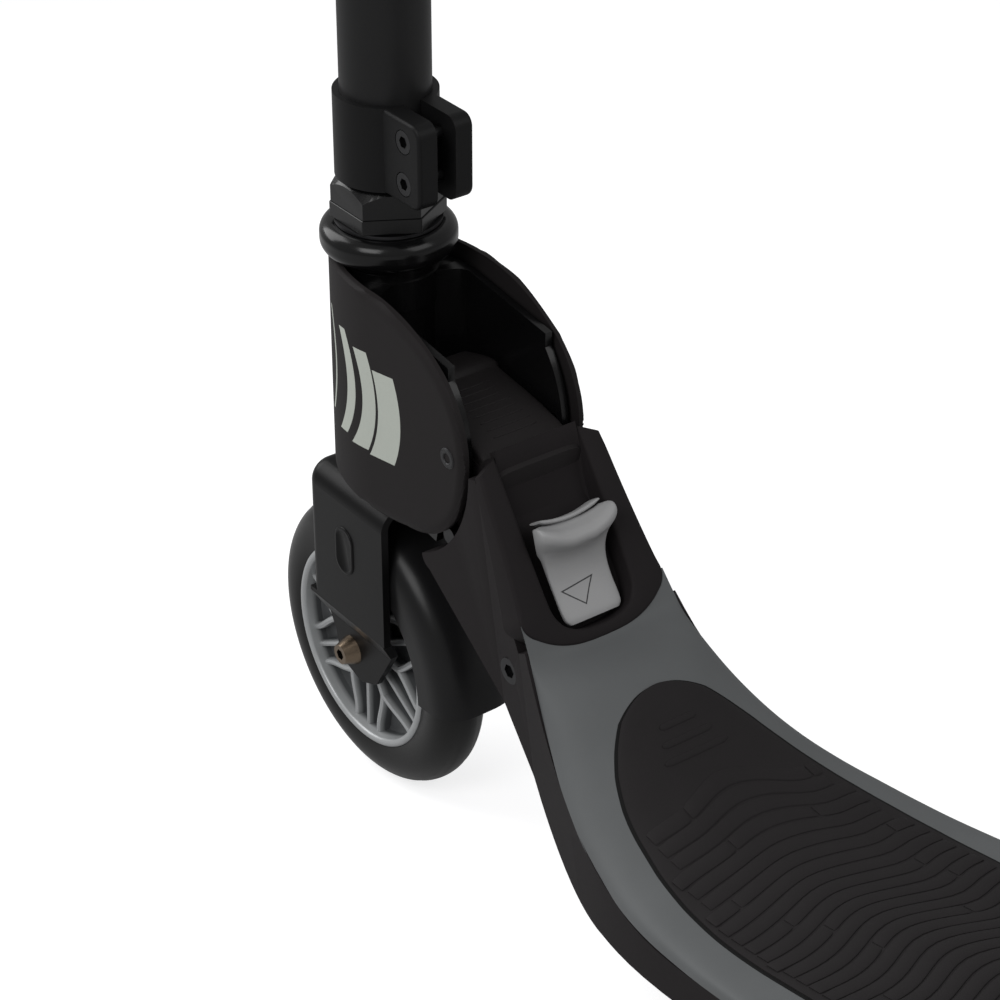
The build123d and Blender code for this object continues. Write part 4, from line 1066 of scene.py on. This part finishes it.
def makePad():
    shape = padShape
    # a thin dark band round the pad's edge, flat on the shell: painted shade where the pad meets the shell
    bm = bmesh.new()
    padSkin(bm, shape["gap"], 0.02, 0.14, 0.0)
    settle(bm, "padEdgeShadeBand", "deck", paints["gapBlack"], (), None, 50)
    bm = bmesh.new()
    padSkin(bm, 0.0, 0.1, shape["rise"], 0.6)
    pad = settle(bm, "padBase", "deck", paints["padRubber"], ("grip_pad",), None, 50)
    # planks across the pad, some of them in two or three lengths
    breaks = [(18.9, -33.0), (), (), (14.7, -20.8), (), (), (33.0, -36.5), (), (), (26.7, -29.8), ()]
    bm = bmesh.new()
    first = between(deckRows, shape["firstPlank"], 2)
    index = 0
    back = first
    while back < shape["tail"] - 12:
        cuts = [60.0, *sorted(breaks[index % len(breaks)], reverse=True), -60.0]
        for left, right in zip(cuts, cuts[1:]):
            plankBetween(bm, back, left - 0.35, right + 0.35, shape["pitch"])
        index += 1
        back += shape["pitch"]
    settle(bm, "padPlanks", "deck", paints["padRubber"], (), None, 50)
    # three plain grip bars ahead of the planks
    bm = bmesh.new()
    for spot, half in ((4.75, 8.0), (5.25, 11.0), (5.75, 14.0)):
        rings = []
        for i in range(13):
            y = -half + 2 * half * i / 12
            thick = 1.25 * (0.4 if i in (0, 12) else 1)
            centre = deckPoint(spot, y, shape["rise"])
            ring = []
            for dx, dz in squircle(thick, -0.4, 0.55, 3, 12):
                ring.append((centre.x + dx * 0.72, y, centre.z + dz + dx * 0.66))
            rings.append(ring)
        skinned(bm, rings)
    settle(bm, "padGripBars", "deck", paints["padRubber"], (), None, 50)
    return pad


def plankBetween(bm, back, left, right, pitch):
    # one plank from left to right, kept inside the pad's outline
    shape = padShape
    margin = 1.6
    steps = 26
    rows = []
    for i in range(steps + 1):
        y = left + (right - left) * i / steps
        middleBack = back - plankWave(y, back) + 3.0
        if middleBack > between(deckRows, 15.9, 2):
            allowed = 49.0
            if middleBack > shape["tail"] - shape["corner"]:
                rest = min((middleBack - shape["tail"] + shape["corner"]) / shape["corner"], 1)
                allowed = 49 - shape["corner"] * (1 - math.sqrt(1 - rest * rest))
        else:
            allowed = padHalf(spotOf(middleBack))
        if abs(y) < allowed - margin:
            rows.append((y, middleBack))
    if len(rows) < 3:
        return
    rings = []
    for i, (y, middleBack) in enumerate(rows):
        width = (pitch - 0.85) / 2 * (0.9 if i in (0, len(rows) - 1) else 1)
        lift = 0.28 if i in (0, len(rows) - 1) else 0.55
        ring = []
        side = lift - 0.25
        for across, high in ((-1, -0.3), (-1, side), (-0.86, lift), (0.86, lift), (1, side), (1, -0.3)):
            ring.append(onPad(middleBack + across * width, y, shape["rise"] + high))
        rings.append(ring)
    skinned(bm, rings)


def onPad(back, y, lift):
    if back > between(deckRows, 15.9, 2):
        point = deckPoint(15.9, y, lift)
        point.x = frontAxle.x / mm - back
        return point
    spot = spotOf(back)
    point = deckPoint(spot, y, lift)
    # slide along the deck until the point lies at the distance back that was asked for
    spot = spotOf(back + (back - (frontAxle.x / mm - point.x)))
    return deckPoint(spot, y, lift)


# fork: a plain pressed mark on each leg

markShape = {"x": -6.5, "z": 54.0, "long": 9.0, "half": 6.2, "face": 21.6, "rise": 0.55}


def makeForkMarks():
    shape = markShape
    bm = bmesh.new()
    for side in (-1, 1):
        rings = []
        rise = shape["rise"]
        for inset, high in ((0, -0.6), (0, rise * 0.5), (0.35, rise), (1.3, rise), (1.7, 0.1)):
            ring = []
            for i in range(48):
                a = 2 * math.pi * (i + 0.5) / 48
                half = shape["half"] - inset
                z = half * math.sin(a) + math.copysign(shape["long"] / 2, math.sin(a))
                ring.append((shape["x"] + half * math.cos(a), side * (shape["face"] + high), shape["z"] + z))
            rings.append(ring)
        skinned(bm, rings)
    return settle(bm, "forkPressings", "steering", paints["forkShadedBlack"], (), leanFrame, 60)


# grips: soft sleeves with fine rings

gripShape = {"core": 16.1, "ring": 17.4, "pitch": 3.4, "flange": 17.5}


def makeGrips():
    low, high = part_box("grips")
    bar = middle("handlebar")
    bm = bmesh.new()
    shape = gripShape
    end = high.y / mm
    start = end - 122
    core, ring, flange = (shape[key] for key in ("core", "ring", "flange"))
    profile = [(14.05, start), (flange, start), (flange, start + 3), (core, start + 4)]
    y = start + 7
    while y < end - 8:
        profile += [(core, y), (ring, y + 0.5), (ring, y + 1.7), (core, y + 2.2)]
        y += shape["pitch"]
    profile += [(core + 0.6, end - 4), (core - 0.6, end - 0.8), (core - 3, end)]
    profile += [(0.4, end), (0.4, end - 1.9), (14.05, end - 2)]
    for side in (1, -1):
        spun(bm, [(r, side * h) for r, h in profile], 64)
    return settle(
        bm, "gripSleeves", "handlebar", paints["padRubber"], ("grips",),
        Matrix.Translation((bar.x, 0, (low.z + high.z) / 2)), 35,
    )


print("wheels")
makeTyre("frontTyre", frontAxle, "front_wheel", "front_tyre")
makeTyre("rearTyre", rearAxle, "rear_wheel", "rear_tyre")
makeRim("frontRim", frontAxle, "front_wheel", "front_rim")
makeRim("rearRim", rearAxle, "rear_wheel", "rear_rim")
print("front end")
makeGuard()
makeForkMarks()
# the fork plates wear the darker coat with painted shade
softened("fork", "forkPlates", "steering", paints["forkShadedBlack"], 0.9)
makeCover("leftCover", 1, "left_cover")
makeCover("rightCover", -1, "right_cover")
makeCoverScrews()
softened("thin_lock_nut", "thinNut", "steering", paints["glossBlack"], 0.4)
softened("tall_top_nut", "tallNut", "steering", paints["glossBlack"], 0.45)
softened("clamp_collar", "stemCollar", "steering", paints["mattBlack"], 0.5)
softened("fold_bracket", "foldBracket", "front_frame", paints["glossBlack"], 0.5)
print("neck and deck")
makeCap()
makePanel()
makeLever()
makeShell()
makePad()
softened("deck_frame", "neckFrame", "deck", paints["neckPlastic"], 0.8)
print("rear and handlebar")
softened("brake_fender", "brakeFender", "brake", paints["glossBlack"], 0.5)
softened("rear_fork", "rearFork", "deck", paints["mattBlack"], 0.5)
softened("height_clamp", "heightClamp", "steering", paints["mattBlack"], 0.6)
softened("tee_joint", "teeJoint", "handlebar", paints["neckPlastic"], 0.8)
softened("clamp_lever", "clampLever", "clamp_lever", paints["leverGrey"], 0.6)
makeGrips()


# the camera, floor and lights

studio = {
    "cameraAt": (-0.5842, 0.5291, 0.5662),
    "cameraRight": (-0.5811, -0.8059, -0.1130),
    "cameraUp": (0.2593, -0.3149, 0.9130),
    "lens": 102.3,
    "floorSide": 6.0,
    "floorColour": (0.92, 0.92, 0.925),
}


def addCamera():
    lens = bpy.data.cameras.new("viewCamera")
    lens.lens = studio["lens"]
    lens.sensor_width = 36
    lens.clip_start = 0.01
    lens.dof.use_dof = False
    camera = bpy.data.objects.new("viewCamera", lens)
    right = Vector(studio["cameraRight"]).normalized()
    up = Vector(studio["cameraUp"])
    up = (up - right * up.dot(right)).normalized()
    turn = Matrix((right, up, right.cross(up))).transposed().to_4x4()
    camera.matrix_world = Matrix.Translation(Vector(studio["cameraAt"])) @ turn
    bpy.context.scene.collection.objects.link(camera)
    bpy.context.scene.camera = camera


def addLamp(name, spot, aim, width, power):
    lamp = bpy.data.lights.new(name, "AREA")
    lamp.shape = "RECTANGLE"
    lamp.size = width[0]
    lamp.size_y = width[1]
    lamp.energy = power * 0.8
    thing = bpy.data.objects.new(name, lamp)
    thing.location = spot
    thing.rotation_euler = (Vector(aim) - Vector(spot)).to_track_quat("-Z", "Y").to_euler()
    bpy.context.scene.collection.objects.link(thing)


def addStage():
    mesh = bpy.data.meshes.new("studioFloor")
    bm = bmesh.new()
    bmesh.ops.create_grid(bm, x_segments=1, y_segments=1, size=studio["floorSide"])
    bmesh.ops.translate(bm, verts=bm.verts, vec=(0, 0, cadBox[0][2] - 0.0002))
    bm.to_mesh(mesh)
    bm.free()
    floor = bpy.data.objects.new("studioFloor", mesh)
    bpy.context.scene.collection.objects.link(floor)
    paint = Paint("floorPaper")
    cloud = paint.noise(3, 2)
    low, high = (rgba(shaded(studio["floorColour"], k)) for k in (0.46, 0.48))
    tint = paint.mix(cloud, low, high)
    direct = paint.node("ShaderNodeLightPath")
    mesh.materials.append(paint.surface({
        "Base Color": tint,
        "Roughness": 0.9,
        "Emission Color": paint.mix(direct, rgba((0.1, 0.1, 0.1)), rgba(studio["floorColour"])),
        "Emission Strength": 0.8,
    }))
    world = bpy.context.scene.world or bpy.data.worlds.new("studioWorld")
    bpy.context.scene.world = world
    world.use_nodes = True
    nodes = world.node_tree.nodes
    links = world.node_tree.links
    nodes.clear()
    ray = nodes.new("ShaderNodeLightPath")
    glow = nodes.new("ShaderNodeMath")
    glow.operation = "MULTIPLY_ADD"
    glow.inputs[1].default_value = 0.62
    glow.inputs[2].default_value = 0.38
    back = nodes.new("ShaderNodeBackground")
    back.inputs["Color"].default_value = (1, 1, 1, 1)
    end = nodes.new("ShaderNodeOutputWorld")
    links.new(ray.outputs["Is Camera Ray"], glow.inputs[0])
    links.new(glow.outputs[0], back.inputs["Strength"])
    links.new(back.outputs[0], end.inputs["Surface"])
    addLamp("keyLamp", (-0.5, 1.5, 1.5), (0.15, 0, 0.2), (1.1, 1.1), 22)
    addLamp("fillLamp", (-1.4, -0.7, 1.3), (0.1, 0, 0.2), (1.2, 1.2), 9)
    addLamp("rimLamp", (1.3, 0.5, 1.2), (0.2, 0, 0.25), (0.9, 1.2), 16)
    bpy.context.scene.view_settings.view_transform = "Standard"


print("stage")
addCamera()
addStage()
